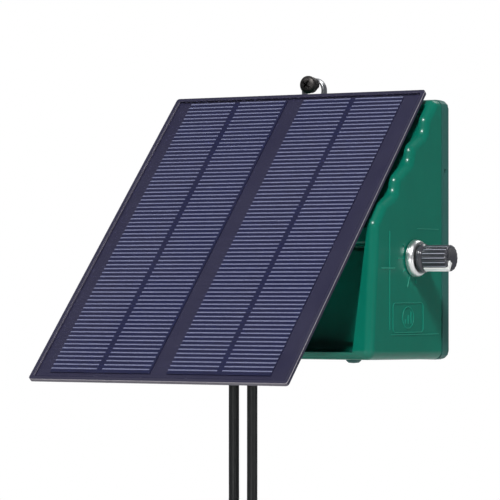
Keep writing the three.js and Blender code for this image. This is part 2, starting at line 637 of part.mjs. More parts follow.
// A toothed edge from one end to the other, `depth` deep on the side that `way` points to.
function teeth(x, from, to, count, depth) {
  return Array.from({ length: count }, (_, k) => {
    const z = from + ((to - from) * k) / count;
    const next = from + ((to - from) * (k + 0.5)) / count;
    return [[x, z], [x + depth, next]];
  }).flat();
}

const clipEar = (radius, y) => extrudeY(
  new THREE.Shape().absarc(CLIP_PIVOT.x, CLIP_PIVOT.z, radius, 0, 2 * Math.PI, false), y);

const pivotHole = () => rod(1.4, 14, '+y', [CLIP_PIVOT.x, -7, CLIP_PIVOT.z], 12);

// The fixed jaw carries a barrel that is crimped on the lead.
function fixedJaw() {
  const profile = rounded([
    [-4.2, -6], [-4.6, -28, 4], [-5.6, -38, 6], [-4.8, -60, 6], [-2.6, -72.5], [-0.4, -74],
    ...teeth(-0.3, -73.4, -53, 6, -1.2), [-2.8, -51], [-3.4, -44], [-3.6, -34], [-2.2, -26], [-1.6, -6],
  ]);
  const barrel = turned([[0, 0], [4.3, 0], [4.3, 13.5], [3.1, 13.5], [3.1, 3.5], [0, 3.5]],
    '+z', [0, 0, -13.5], 20);
  const spine = cut(extrudeY(profile, [-4, 4]), rod(3.1, 20, '+z', [0, 0, -10], 20));
  const ears = [[-4, -3.1], [3.1, 4]].map((y) => clipEar(4.8, y));
  return cut(join(spine, barrel, ...ears), pivotHole());
}

function movingJaw() {
  const profile = rounded([
    [17, -3], [15, -2.2], [9, -22, 8], [4.6, -33, 4], [4.1, -38], [4.1, -44], [2.8, -51],
    ...teeth(0.3, -53, -73.4, 6, 1.2), [0.4, -74], [2.6, -72.5], [4.8, -60, 6], [6.6, -40, 8], [10.8, -24, 8],
  ]);
  const ears = [[-2.8, -2], [2, 2.8]].map((y) => clipEar(4, y));
  return cut(join(extrudeY(profile, [-2.8, 2.8]), ...ears), pivotHole());
}

const clipPin = () => turned([
  [0, -5], [1.9, -5], [1.9, -4.3], [1.1, -4.3], [1.1, 4.3], [1.9, 4.3], [1.9, 5], [0, 5],
], '+y', [CLIP_PIVOT.x, 0, CLIP_PIVOT.z], 10);

const clipSpring = () => ring(1.45, 2.7, 3.3, '+y', [CLIP_PIVOT.x, -1.65, CLIP_PIVOT.z], 12);

Object.entries(LEADS).forEach(([name, { x, coilY, side }]) => {
  const clip = new THREE.Group();
  clip.position.set(x + side * COIL_OUTER, coilY + side * COIL_STRAND, CLIP_TOP);
  energizer.add(clip);
  addPiece(`${name}_clip_jaw`, fixedJaw(), STEEL, clip);
  addPiece(`${name}_clip_lever`, movingJaw(), STEEL, clip);
  addPiece(`${name}_clip_pin`, clipPin(), STEEL, clip);
  addPiece(`${name}_clip_spring`, clipSpring(), STEEL, clip);
});

export default energizer;
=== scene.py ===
"""Solar fence energizer: its looks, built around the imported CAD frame.

Lengths in this script are millimetres, turned into Blender's metres by MM. The frame's origin is the middle
of the casing's flat back: +X to the right, +Y into the wall, +Z up.
"""

import json
import math

import bmesh
import bpy
from mathutils import Matrix, Vector


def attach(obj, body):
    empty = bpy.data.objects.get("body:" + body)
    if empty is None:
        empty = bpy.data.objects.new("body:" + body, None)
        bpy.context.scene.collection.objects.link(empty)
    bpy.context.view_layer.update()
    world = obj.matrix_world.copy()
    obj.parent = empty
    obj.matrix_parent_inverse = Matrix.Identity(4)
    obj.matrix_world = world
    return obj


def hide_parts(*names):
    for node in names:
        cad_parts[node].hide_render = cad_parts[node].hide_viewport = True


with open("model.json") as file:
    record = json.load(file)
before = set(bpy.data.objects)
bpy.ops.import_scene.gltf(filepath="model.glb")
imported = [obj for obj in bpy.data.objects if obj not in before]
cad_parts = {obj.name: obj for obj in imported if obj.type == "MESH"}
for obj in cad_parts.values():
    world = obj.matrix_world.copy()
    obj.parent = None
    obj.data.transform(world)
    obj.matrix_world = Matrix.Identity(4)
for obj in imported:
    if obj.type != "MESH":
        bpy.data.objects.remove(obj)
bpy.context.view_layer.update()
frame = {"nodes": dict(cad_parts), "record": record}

MM = 0.001
CASING = "energizer"


def point(x, y, z):
    """A place in millimetres, as a vector in metres."""
    return Vector((x, y, z)) * MM


def place_in_scene(name, data):
    """A new object around a mesh, camera or light."""
    thing = bpy.data.objects.new(name, data)
    bpy.context.scene.collection.objects.link(thing)
    return thing


def mesh_object(name, bm):
    """A new object from a closed mesh, with its faces turned outwards. The bmesh is used up."""
    bmesh.ops.recalc_face_normals(bm, faces=bm.faces)
    data = bpy.data.meshes.new(name)
    bm.to_mesh(data)
    bm.free()
    return place_in_scene(name, data)


def round_angles(count):
    """Equal steps of a full turn."""
    return [2 * math.pi * k / count for k in range(count)]


def soften(piece, angle):
    """Smooth shading across edges flatter than that many degrees."""
    piece.data.shade_smooth()
    piece.data.set_sharp_from_angle(angle=math.radians(angle))


# ---------------- camera

CAMERA_AT = point(888.5, -1461.7, -30.0)
CAMERA_HEADING = 32.48  # degrees, to the left of +Y
CAMERA_PITCH = 0.68
CAMERA_LENS = 232.3
CAMERA_SENSOR = 36


def make_camera():
    data = bpy.data.cameras.new("camera")
    data.lens = CAMERA_LENS
    data.sensor_width = CAMERA_SENSOR
    data.clip_end = 100
    camera = place_in_scene("camera", data)
    camera.location = CAMERA_AT
    camera.rotation_euler = (math.radians(90 + CAMERA_PITCH), 0, math.radians(CAMERA_HEADING))
    bpy.context.scene.camera = camera


make_camera()

# ---------------- output leads

LEAD_RADIUS = 2.8
LEAD_Y = -33
LEAD_FACTS = {
    "fence": {"x": -31, "coil_y": -41, "side": -1},
    "earth": {"x": -19.6, "coil_y": -25, "side": 1},
}
GLAND_END_Z = -77.4
LEAD_DROP_Z = (-56, -64, -76, -92, -110, -128)  # from inside the casing, straight down
BEND_TOP_Z = -142
BEND_SHARE = 0.55  # how much of the way to the coil's plane the lead makes in its bend
COIL_Z = -206
COIL_OUTER = 36.2  # centre line of the outer turns
COIL_INNER = 30.5
COIL_STRAND = 2.85  # half the spacing of two turns side by side
COIL_START = 45  # degrees from the top, where the lead meets the coil
COIL_TURNED = 1125  # degrees
COIL_STEP = 12.5
CLIP_TOP_Z = -256.3
LEAD_END_Z = CLIP_TOP_Z - 9
LEAD_SIDES = 14


def smooth_path(points, steps):
    """Extra points on a smooth curve through the given ones."""
    result = []
    for i in range(len(points) - 1):
        before = points[max(i - 1, 0)]
        here, there = points[i], points[i + 1]
        after = points[min(i + 2, len(points) - 1)]
        for k in range(steps):
            t = k / steps
            result.append(0.5 * (
                2 * here + (there - before) * t
                + (2 * before - 5 * here + 4 * there - after) * t ** 2
                + (3 * here - before - 3 * there + after) * t ** 3))
    return result + [points[-1]]


def coil_turn(turned):
    """Radius and side of the coil's cord after that many degrees: two outer turns around two inner ones."""
    stages = [(0, COIL_OUTER, -1), (275, COIL_OUTER, -1), (355, COIL_INNER, -1), (595, COIL_INNER, -1),
              (675, COIL_INNER, 1), (915, COIL_INNER, 1), (995, COIL_OUTER, 1), (COIL_TURNED, COIL_OUTER, 1)]
    for (start, r0, s0), (end, r1, s1) in zip(stages, stages[1:]):
        if turned <= end:
            t = (turned - start) / (end - start)
            ease = 2 * t * t if t < 0.5 else 1 - 2 * (1 - t) ** 2
            return r0 + (r1 - r0) * ease, s0 + (s1 - s0) * ease
    return stages[-1][1:]


def lead_points(x, coil_y, side):
    """A lead's route: straight down, out to the coil on a tangent, round it, and down into the clip."""
    meet_x = COIL_OUTER * math.sin(math.pi / 4)
    meet_z = COIL_Z + meet_x
    bend = (BEND_TOP_Z - meet_z - meet_x) / (math.sqrt(2) - 1)
    strand_y = coil_y - side * COIL_STRAND
    route = [point(x, LEAD_Y, z) for z in LEAD_DROP_Z]
    for t in (0, 0.2, 0.4, 0.6, 0.8, 1):
        ease = (t * t * (3 - 2 * t)) * BEND_SHARE
        angle = t * math.pi / 4
        route.append(point(
            x + side * bend * (1 - math.cos(angle)), LEAD_Y + (strand_y - LEAD_Y) * ease,
            BEND_TOP_Z - bend * math.sin(angle)))
    bend_end = route[-1]
    start = point(x + side * meet_x, strand_y, meet_z)
    for t, ease in ((0.33, 0.55), (0.67, 0.9)):
        on_line = bend_end.lerp(start, t)
        on_line.y = MM * (LEAD_Y + (strand_y - LEAD_Y) * (BEND_SHARE + (1 - BEND_SHARE) * ease))
        route.append(on_line)
    for k in range(round(COIL_TURNED / COIL_STEP) + 1):
        turned = k * COIL_STEP
        radius, strand = coil_turn(turned)
        angle = math.radians(COIL_START + turned)
        route.append(point(
            x + side * radius * math.sin(angle), coil_y + side * strand * COIL_STRAND,
            COIL_Z + radius * math.cos(angle)))
    tail_x = x + side * COIL_OUTER
    tail_y = coil_y + side * COIL_STRAND
    for t in (0.2, 0.4, 0.6, 0.8, 1):
        route.append(point(tail_x, tail_y, COIL_Z + (LEAD_END_Z - COIL_Z) * t))
    return smooth_path(route, 4)


def cord_tube(name, points):
    """A lead as a closed round tube along the points."""
    bm = bmesh.new()
    across = (points[1] - points[0]).orthogonal()
    rings = []
    for i, at in enumerate(points):
        ahead = (points[min(i + 1, len(points) - 1)] - points[max(i - 1, 0)]).normalized()
        across = (across - ahead * across.dot(ahead)).normalized()
        other = ahead.cross(across)
        rings.append([
            bm.verts.new(at + (across * math.cos(a) + other * math.sin(a)) * LEAD_RADIUS * MM)
            for a in round_angles(LEAD_SIDES)])
    for low, high in zip(rings, rings[1:]):
        for k in range(LEAD_SIDES):
            bm.faces.new((low[k - 1], low[k], high[k], high[k - 1]))
    bm.faces.new(rings[0][::-1])
    bm.faces.new(rings[-1])
    cord = mesh_object(name, bm)
    soften(cord, 50)
    return cord


leads = {}
for lead_name, facts in LEAD_FACTS.items():
    route = lead_points(**facts)
    lead = cord_tube(f"{lead_name}_lead_cord", route)
    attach(lead, CASING)
    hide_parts(f"{lead_name}_lead", f"{lead_name}_lead_coil", f"{lead_name}_lead_tail")
    leads[lead_name] = {"piece": lead, "route": route}

# ---------------- places that the materials follow too

PANEL_TILT = math.radians(47.46)
PANEL_CENTRE = Vector((0, -87, -1.9))  # on its top face, at u = 0
PANEL_NORMAL = Vector((0, -math.sin(PANEL_TILT), math.cos(PANEL_TILT)))
PANEL_DOWNHILL = Vector((0, -math.cos(PANEL_TILT), -math.sin(PANEL_TILT)))

KNOB_Y = -37
KNOB_Z = -14.8
KNOB_BASE = 84.9
KNOB_LENGTH = 17.2
KNOB_FLUTES = 18
FLUTES_START = 3.4  # from the knob's base
FLUTES_FADE = 1.2

# ---------------- node materials

DUST_GREY = (0.42, 0.43, 0.40)
RUBBER_DUST = (0.35, 0.35, 0.34)
# grey of the painted highlight lines on the knob's flute crests
CREST_HIGHLIGHT_GREY = (0.42, 0.42, 0.5)
BOARD_DARK = (0.02, 0.0185, 0.044)
BOARD_LIGHT = (0.028, 0.0255, 0.058)
# pale tone on the board's cut edge: a painted highlight along its top, and the paler downhill face
BOARD_PALE_EDGE_AND_HIGHLIGHT = (0.4, 0.37, 0.4)
# paler tone of the resin lip where it faces right: a painted highlight
RESIN_HIGHLIGHT = (0.3, 0.28, 0.32)


def new_material(name):
    """A material with its Principled shader, as (material, node tree, shader)."""
    material = bpy.data.materials.new(name)
    material.use_nodes = True
    tree = material.node_tree
    return material, tree, tree.nodes["Principled BSDF"]


def put(tree, kind, inputs=None, **settings):
    """A node of that kind. inputs are values for, or sockets to link to, its inputs by name."""
    node = tree.nodes.new(kind)
    for key, value in settings.items():
        setattr(node, key, value)
    for key, value in (inputs or {}).items():
        if isinstance(value, bpy.types.NodeSocket):
            tree.links.new(value, node.inputs[key])
        else:
            node.inputs[key].default_value = value
    return node


def rgb(colour):
    return (*colour, 1)


def object_place(tree, scale=(1, 1, 1)):
    """Places on the object in units of `scale` to the metre."""
    source = put(tree, "ShaderNodeTexCoord")
    return put(tree, "ShaderNodeMapping", {"Vector": source.outputs["Object"], "Scale": scale}).outputs[0]


def noise(tree, place, scale, detail=4, roughness=0.55):
    return put(tree, "ShaderNodeTexNoise", {
        "Vector": place, "Scale": scale, "Detail": detail, "Roughness": roughness}).outputs["Fac"]


def remap(tree, value, low, high, start=0.3, end=0.7):
    return put(tree, "ShaderNodeMapRange", {
        "Value": value, "From Min": start, "From Max": end, "To Min": low, "To Max": high}).outputs[0]


def mixed(tree, factor, first, second):
    mix = put(tree, "ShaderNodeMix", data_type="RGBA")
    for index, value in ((0, factor), (6, first), (7, second)):
        if isinstance(value, bpy.types.NodeSocket):
            tree.links.new(value, mix.inputs[index])
        else:
            mix.inputs[index].default_value = value if index == 0 else rgb(value)
    return mix.outputs[2]


def maths(tree, operation, *values):
    """A math node's result, from values or sockets."""
    return put(tree, "ShaderNodeMath", dict(enumerate(values)), operation=operation).outputs[0]


def dot(tree, vector, direction):
    node = put(tree, "ShaderNodeVectorMath", {0: vector, 1: direction}, operation="DOT_PRODUCT")
    return node.outputs["Value"]


def use(tree, shader, **sockets):
    """Links sockets to the shader's inputs, named with _ for a space."""
    for name, socket in sockets.items():
        tree.links.new(socket, shader.inputs[name.replace("_", " ")])


def bump(tree, shader, height, distance, strength=1.0, before=None):
    """A bump, on top of the one before it, as the shader's normal. distance is in metres."""
    inputs = {"Height": height, "Distance": distance, "Strength": strength}
    if before is not None:
        inputs["Normal"] = before
    node = put(tree, "ShaderNodeBump", inputs)
    tree.links.new(node.outputs[0], shader.inputs["Normal"])
    return node.outputs[0]


def painted_crest_highlights(tree, count, centre, span):
    """Painted highlight lines along the crests of flutes that run along X, about a (y, z) centre in
    millimetres.
    """
    soft = 0.3  # over this length in millimetres a line ends
    x, y, z = put(tree, "ShaderNodeSeparateXYZ", {0: object_place(tree)}).outputs
    out_y, out_z = (maths(tree, "SUBTRACT", socket, c * MM) for socket, c in zip((y, z), centre))
    wave = maths(tree, "MULTIPLY", maths(tree, "ARCTAN2", out_z, out_y), count)
    crest = remap(tree, maths(tree, "COSINE", wave), 0, 1, 0.86, 0.96)
    start = remap(tree, x, 0, 1, (span[0] - soft) * MM, span[0] * MM)
    end = remap(tree, x, 1, 0, span[1] * MM, (span[1] + soft) * MM)
    return maths(tree, "MULTIPLY", crest, maths(tree, "MULTIPLY", start, end))


def moulded(name, colour, shade, roughness, grain=0.0, coat=0.0, shine=0.5, coat_roughness=0.08, flutes=None):
    """Injection-moulded plastic: faint flow marks, uneven gloss, a fine moulded grain and a little dust. With
    flutes, painted highlight lines along the flute crests.
    """
    material, tree, shader = new_material(name)
    place = object_place(tree)
    flow = noise(tree, object_place(tree, (1, 1, 0.35)), 28, 5)
    mottle = noise(tree, place, 260, 3)
    tone = mixed(tree, remap(tree, flow, 0, 1), colour, shade)
    dust = remap(tree, noise(tree, place, 900, 6, 0.7), 0, 0.02, 0.6, 0.8)
    dusty = mixed(tree, dust, tone, DUST_GREY)
    if flutes:
        # painted highlight lines along the flute crests, in place of light caught by the knob's ridges
        dusty = mixed(tree, painted_crest_highlights(tree, *flutes), dusty, CREST_HIGHLIGHT_GREY)
    uneven = remap(tree, maths(tree, "ADD", flow, mottle), *roughness, 0.75, 1.25)
    use(tree, shader, Base_Color=dusty, Roughness=uneven)
    shader.inputs["Coat Weight"].default_value = coat
    shader.inputs["Coat Roughness"].default_value = coat_roughness
    shader.inputs["Specular IOR Level"].default_value = shine
    waves = bump(tree, shader, noise(tree, place, 90, 2), 0.00025, 0.25)
    if grain:
        bump(tree, shader, noise(tree, place, 2600, 2), 0.00012, grain, waves)
    return material


def metal(name, colour, roughness, brushed=(1, 1, 1), scratch=0.3):
    """Plated or polished steel: directional polishing marks and faint blotches."""
    material, tree, shader = new_material(name)
    lines = noise(tree, object_place(tree, brushed), 900, 3)
    blotch = noise(tree, object_place(tree), 120, 4)
    tone = mixed(tree, remap(tree, blotch, 0, 1), colour, [c * 0.78 for c in colour])
    use(tree, shader, Base_Color=tone, Roughness=remap(tree, lines, *roughness))
    shader.inputs["Metallic"].default_value = 1
    bump(tree, shader, lines, 0.00006, scratch)
    return material


def rubber(name, colour, roughness=(0.32, 0.5), grain=0.25, shine=0.5):
    """Cable jacket or rubber: nearly black, a soft sheen, fine grain and a trace of dust."""
    material, tree, shader = new_material(name)
    place = object_place(tree)
    blotch = noise(tree, place, 70, 5)
    dust = remap(tree, noise(tree, place, 420, 6, 0.7), 0, 0.06, 0.55, 0.8)
    tone = mixed(tree, remap(tree, blotch, 0, 1), colour, [c * 1.9 for c in colour])
    dusty = mixed(tree, dust, tone, RUBBER_DUST)
    use(tree, shader, Base_Color=dusty, Roughness=remap(tree, blotch, *roughness))
    shader.inputs["Specular IOR Level"].default_value = shine
    bump(tree, shader, noise(tree, place, 1800, 3), 0.0001, grain)
    return material


def silicon(name):
    """Dark blue cells with a soft crystal mottle and a slow drift between blue and violet."""
    material, tree, shader = new_material(name)
    place = object_place(tree)
    crystals = put(tree, "ShaderNodeTexVoronoi", {"Vector": place, "Scale": 190.0, "Randomness": 1.0})
    drift = noise(tree, place, 14, 3)
    blue = mixed(tree, remap(tree, drift, 0, 1), (0.008, 0.01, 0.044), (0.0115, 0.0105, 0.038))
    grey = put(tree, "ShaderNodeRGBToBW", {"Color": crystals.outputs["Color"]}).outputs[0]
    flake = remap(tree, grey, 0.0, 0.35, 0.2, 0.8)
    tone = mixed(tree, flake, blue, (0.011, 0.0145, 0.057))
    use(tree, shader, Base_Color=tone, Roughness=remap(tree, drift, 0.32, 0.45))
    return material


def silver_print(name):
    """Printed silver fingers: lilac through the coat, slightly broken along their length."""
    material, tree, shader = new_material(name)
    broken = noise(tree, object_place(tree), 700, 4)
    tone = mixed(tree, remap(tree, broken, 0, 1), (0.22, 0.235, 0.32), (0.165, 0.175, 0.26))
    use(tree, shader, Base_Color=tone, Roughness=remap(tree, broken, 0.4, 0.6))
    return material


def board_laminate(name):
    """The panel's dark board: a faint woven ground under the lacquer; on its cut edge a painted highlight
    along the top and a paler face where the edge looks downhill.
    """
    material, tree, shader = new_material(name)
    place = object_place(tree)
    weave = maths(tree, "MULTIPLY", *(
        put(tree, "ShaderNodeTexWave", {"Vector": place, "Scale": 900.0}, bands_direction=way).outputs["Fac"]
        for way in "XZ"))
    ground = mixed(tree, weave, BOARD_DARK, BOARD_LIGHT)
    facing = put(tree, "ShaderNodeNewGeometry").outputs["Normal"]
    on_edge = remap(tree, maths(tree, "ABSOLUTE", dot(tree, facing, PANEL_NORMAL)), 1, 0, 0.3, 0.9)
    top_face = PANEL_CENTRE.dot(PANEL_NORMAL) * MM
    # the top 0.4 mm of the cut edge: a painted highlight
    rim = remap(tree, dot(tree, place, PANEL_NORMAL), 0, 1, top_face - 0.6 * MM, top_face - 0.4 * MM)
    # the face that looks downhill is paler
    foot = remap(tree, dot(tree, facing, PANEL_DOWNHILL), 0, 0.3, 0.5, 0.8)
    edge = maths(tree, "MULTIPLY", on_edge, maths(tree, "MAXIMUM", rim, foot))
    gloss = remap(tree, noise(tree, place, 50), 0.35, 0.55)
    use(tree, shader, Base_Color=mixed(tree, edge, ground, BOARD_PALE_EDGE_AND_HIGHLIGHT), Roughness=gloss)
    bump(tree, shader, weave, 0.00005, 0.2)
    return material


def resin_edge(name):
    """The resin's rounded lip: dark like the board, and paler where it turns to the panel's right, a painted
    highlight.
    """
    material, tree, shader = new_material(name)
    facing_right = dot(tree, put(tree, "ShaderNodeNewGeometry").outputs["Normal"], (1, 0, 0))
    uneven = noise(tree, object_place(tree), 300, 3)
    ground = mixed(tree, remap(tree, uneven, 0, 1), BOARD_DARK, BOARD_LIGHT)
    # painted highlight on the lip's right-facing side
    tone = mixed(tree, remap(tree, facing_right, 0, 0.5, 0.2, 0.9), ground, RESIN_HIGHLIGHT)
    use(tree, shader, Base_Color=tone, Roughness=remap(tree, uneven, 0.15, 0.3))
    return material


def clear_coat(name):
    """The clear resin over the cells: see-through, with a gloss that grows towards the edge of sight."""
    material, tree, shader = new_material(name)
    tree.nodes.remove(shader)
    place = object_place(tree)
    smear = noise(tree, place, 35, 5, 0.6)
    gloss = put(tree, "ShaderNodeBsdfGlossy", {
        "Color": rgb((0.9, 0.9, 1.0)), "Roughness": remap(tree, smear, 0.1, 0.24)})
    ripple = put(tree, "ShaderNodeBump", {
        "Height": noise(tree, place, 60, 2), "Distance": 0.0002, "Strength": 0.15})
    tree.links.new(ripple.outputs[0], gloss.inputs["Normal"])
    through = put(tree, "ShaderNodeBsdfTransparent", {"Color": rgb((0.96, 0.96, 0.99))})
    fresnel = put(tree, "ShaderNodeFresnel", {"IOR": 1.25})
    back = put(tree, "ShaderNodeNewGeometry").outputs["Backfacing"]
    share = maths(tree, "MULTIPLY", fresnel.outputs[0], maths(tree, "SUBTRACT", 1.0, back))
    mix = put(tree, "ShaderNodeMixShader", {0: share, 1: through.outputs[0], 2: gloss.outputs[0]})
    tree.links.new(mix.outputs[0], tree.nodes["Material Output"].inputs["Surface"])
    return material


MATERIALS = {
    "casing_green": moulded("casing_green", (0.001, 0.162, 0.107), (0.001, 0.137, 0.091), (0.3, 0.4), 0.04,
                            coat=0.6, shine=0.08, coat_roughness=0.24),
    # lit_mark_green is a lighter copy of the casing green: a painted highlight for the raised marks catching
    # the light
    "lit_mark_green": moulded("lit_mark_green", (0.012, 0.23, 0.16), (0.01, 0.2, 0.14), (0.3, 0.4), 0.05, shine=0.12),
    "cover_grey": moulded("cover_grey", (0.034, 0.128, 0.112), (0.028, 0.112, 0.098), (0.34, 0.46), 0.2,
                          shine=0.22),
    "black_plastic": moulded("black_plastic", (0.012, 0.012, 0.014), (0.018, 0.018, 0.02), (0.4, 0.55), 0.3),
    # the knob's flutes get painted highlight lines along their crests
    "knob_black": moulded("knob_black", (0.04, 0.041, 0.05), (0.052, 0.052, 0.062), (0.16, 0.24), 0.06, 0.25,
                          flutes=(KNOB_FLUTES, (KNOB_Y, KNOB_Z),
                                  (KNOB_BASE + FLUTES_START + 0.2, KNOB_BASE + KNOB_LENGTH - 1))),
    "pointer_white": moulded("pointer_white", (0.97, 0.97, 0.95), (0.93, 0.93, 0.91), (0.4, 0.5), 0.05),
    "rubber": rubber("rubber", (0.01, 0.01, 0.011), (0.55, 0.75), 0.5),
    "seal_green": rubber("seal_green", (0.006, 0.04, 0.034), (0.45, 0.6), 0.3),
    "plug_green": rubber("plug_green", (0.004, 0.06, 0.055), (0.45, 0.6), 0.3),
    "cable": rubber("cable", (0.009, 0.0095, 0.0095), (0.3, 0.42), 0.08, shine=0.4),
    "boot_red": rubber("boot_red", (0.32, 0.012, 0.01), (0.35, 0.5), 0.2),
    "boot_black": rubber("boot_black", (0.012, 0.012, 0.013), (0.35, 0.5), 0.2),
    "steel": metal("steel", (0.55, 0.56, 0.57), (0.22, 0.4), (1, 1, 6)),
    "chrome": metal("chrome", (0.95, 0.95, 0.94), (0.28, 0.38), scratch=0.08),
    "black_steel": metal("black_steel", (0.075, 0.07, 0.067), (0.42, 0.56), scratch=0.2),
    "panel_board": board_laminate("panel_board"),
    "resin_edge": resin_edge("resin_edge"),
    "panel_cover": clear_coat("panel_cover"),
    "solar_cell": silicon("solar_cell"),
    "finger_silver": silver_print("finger_silver"),
    "battery_wrap": moulded("battery_wrap", (0.02, 0.25, 0.09), (0.03, 0.3, 0.1), (0.2, 0.3)),
    "lamp_red": moulded("lamp_red", (0.5, 0.02, 0.015), (0.4, 0.01, 0.01), (0.1, 0.2), coat=0.6),
    "board_green": moulded("board_green", (0.008, 0.1, 0.035), (0.01, 0.13, 0.045), (0.3, 0.45), 0.1),
    "copper": metal("copper", (0.6, 0.26, 0.1), (0.25, 0.4), (1, 1, 20)),
    "ferrite": metal("ferrite", (0.1, 0.1, 0.105), (0.5, 0.7), (1, 20, 1)),
    "capacitor_blue": moulded("capacitor_blue", (0.015, 0.05, 0.2), (0.02, 0.06, 0.24), (0.25, 0.35)),
}

# ---------------- mesh tools, in millimetres


def add_mesh(name, bm, material, body=CASING, replaces=(), smooth=35):
    """A closed mesh, made in millimetres, as a piece that rides on a body."""
    bmesh.ops.scale(bm, vec=(MM, MM, MM), verts=bm.verts)
    piece = mesh_object(name, bm)
    piece.data.materials.append(MATERIALS[material])
    soften(piece, smooth)
    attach(piece, body)
    if replaces:
        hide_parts(*replaces)
    return piece


def rounded(corners, steps=8):
    """An outline through corners (x, y, radius), each rounded by its own radius."""
    outline = []
    for i, corner in enumerate(corners):
        here = Vector(corner[:2])
        radius = corner[2] if len(corner) > 2 else 0
        if radius == 0:
            outline.append(here)
            continue
        before = (Vector(corners[i - 1][:2]) - here).normalized()
        after = (Vector(corners[(i + 1) % len(corners)][:2]) - here).normalized()
        half = before.angle(after) / 2
        reach = radius / math.tan(half)
        middle = here + (before + after).normalized() * (radius / math.sin(half))
        first = here + before * reach - middle
        last = here + after * reach - middle
        start = math.atan2(first.y, first.x)
        sweep = (math.atan2(last.y, last.x) - start + math.pi) % (2 * math.pi) - math.pi
        for k in range(steps + 1):
            angle = start + sweep * k / steps
            outline.append(middle + Vector((math.cos(angle), math.sin(angle))) * radius)
    return outline


def rectangle(x, y, radius=0, steps=6):
    corners = ((x[0], y[0]), (x[1], y[0]), (x[1], y[1]), (x[0], y[1]))
    return rounded([(*corner, radius) for corner in corners], steps)


def inset(outline, distance):
    """The outline moved inwards. It runs counter-clockwise."""
    result = []
    count = len(outline)
    for i, here in enumerate(outline):
        before = (here - outline[i - 1]).normalized()
        after = (outline[(i + 1) % count] - here).normalized()
        first = Vector((-before.y, before.x))
        second = Vector((-after.y, after.x))
        result.append(here + (first + second) * (distance / (1 + first.dot(second))))
    return result


def counter_clockwise(outline):
    area = sum(a.x * b.y - b.x * a.y for a, b in zip(outline, outline[1:] + outline[:1]))
    return outline if area > 0 else outline[::-1]


def loft(bm, rings, closed=False):
    """Faces between rings of equally many points, with capped ends unless the rings close on themselves."""
    made = [[bm.verts.new(place) for place in ring] for ring in rings]
    pairs = list(zip(made, made[1:]))
    if closed:
        pairs.append((made[-1], made[0]))
    for low, high in pairs:
        for i in range(len(low)):
            j = (i + 1) % len(low)
            bm.faces.new((low[i], low[j], high[j], high[i]))
    if not closed:
        bm.faces.new(made[0][::-1])
        bm.faces.new(made[-1])


ALONG = {
    "x": lambda u, v, w: Vector((w, u, v)),  # an outline in Y and Z
    "y": lambda u, v, w: Vector((u, w, v)),  # an outline in X and Z
    "z": lambda u, v, w: Vector((u, v, w)),
}
ABOUT = {  # places at an angle, radius and height about an axis
    "x": lambda a, r, h: Vector((h, r * math.cos(a), r * math.sin(a))),
    "y": lambda a, r, h: Vector((r * math.sin(a), h, r * math.cos(a))),
    "z": lambda a, r, h: Vector((r * math.cos(a), r * math.sin(a), h)),
}


def slab(bm, outline, span, axis, edge=0.0, steps=5):
    """An outline extruded along an axis, with its two rims rounded by `edge`."""
    outline = counter_clockwise(outline)
    place = ALONG[axis]
    low, high = span
    levels = [(low, 0.0), (high, 0.0)]
    if edge:
        arc = [math.pi / 2 * k / steps for k in range(steps + 1)]
        levels = [(low + edge - edge * math.cos(a), edge - edge * math.sin(a)) for a in arc]
        levels += [(high - edge + edge * math.sin(a), edge - edge * math.cos(a)) for a in arc]
    loft(bm, [[place(p.x, p.y, at) for p in (inset(outline, depth) if depth else outline)]
              for at, depth in levels])


def lathe(bm, profile, axis, at, segments=48, radius_at=None, closed=False):
    """A profile of (radius, height) points turned about an axis through `at`. It starts and ends on a flat
    end, or closes on itself as a ring. radius_at(angle, radius, height) varies the radius round the turn."""
    place = ABOUT[axis]
    centre = Vector(at)
    radius_at = radius_at or (lambda angle, radius, height: radius)
    turns = round_angles(segments)
    loft(bm, [[centre + place(a, radius_at(a, r, h), h) for a in turns] for r, h in profile], closed)


def box_mesh(bm, x, y, z):
    slab(bm, [Vector((x[0], y[0])), Vector((x[1], y[0])), Vector((x[1], y[1])), Vector((x[0], y[1]))], z, "z")


def solid(build):
    """A throwaway object from a function that fills a bmesh, for cutting and joining."""
    bm = bmesh.new()
    build(bm)
    return mesh_object("tool", bm)


def combine(base, tools, operation):
    """base with each tool cut away, joined on or kept in common. The tools are used up."""
    for tool in tools:
        modifier = base.modifiers.new("combine", "BOOLEAN")
        modifier.operation = operation
        modifier.solver = "EXACT"
        modifier.object = tool
    bpy.context.view_layer.update()
    result = bpy.data.meshes.new_from_object(base.evaluated_get(bpy.context.evaluated_depsgraph_get()))
    base.modifiers.clear()
    base.data = result
    for tool in tools:
        bpy.data.objects.remove(tool)
    return base


def take_mesh(tool):
    """The bmesh of a throwaway object, which is then removed."""
    bm = bmesh.new()
    bm.from_mesh(tool.data)
    bpy.data.objects.remove(tool)
    return bm


# ---------------- CAD nodes that keep their shape

SLOTS = {entry["node"]: entry["material_slot"] for entry in frame["record"]["subparts"]}
OWN_FINISH = {"drain_plug": "plug_green", "cover_seal": "seal_green"}


def bevel_edges(piece, width, segments, angle):
    """Soft edges of that many millimetres wherever faces meet at more than that many degrees."""
    edge = piece.modifiers.new("edge", "BEVEL")
    edge.width = width * MM
    edge.segments = segments
    edge.limit_method = "ANGLE"
    edge.angle_limit = math.radians(angle)
    edge.harden_normals = True
    shading = piece.modifiers.new("shading", "WEIGHTED_NORMAL")
    shading.keep_sharp = True


def dress_cad_nodes():
    """Every CAD node gets its material, soft edges and clean shading."""
    for name, node in frame["nodes"].items():
        node.data.materials.clear()
        node.data.materials.append(MATERIALS[OWN_FINISH.get(name, SLOTS[name])])
        node.data.shade_smooth()
        bevel_edges(node, 0.25, 2, 40)


dress_cad_nodes()

# ---------------- front shell

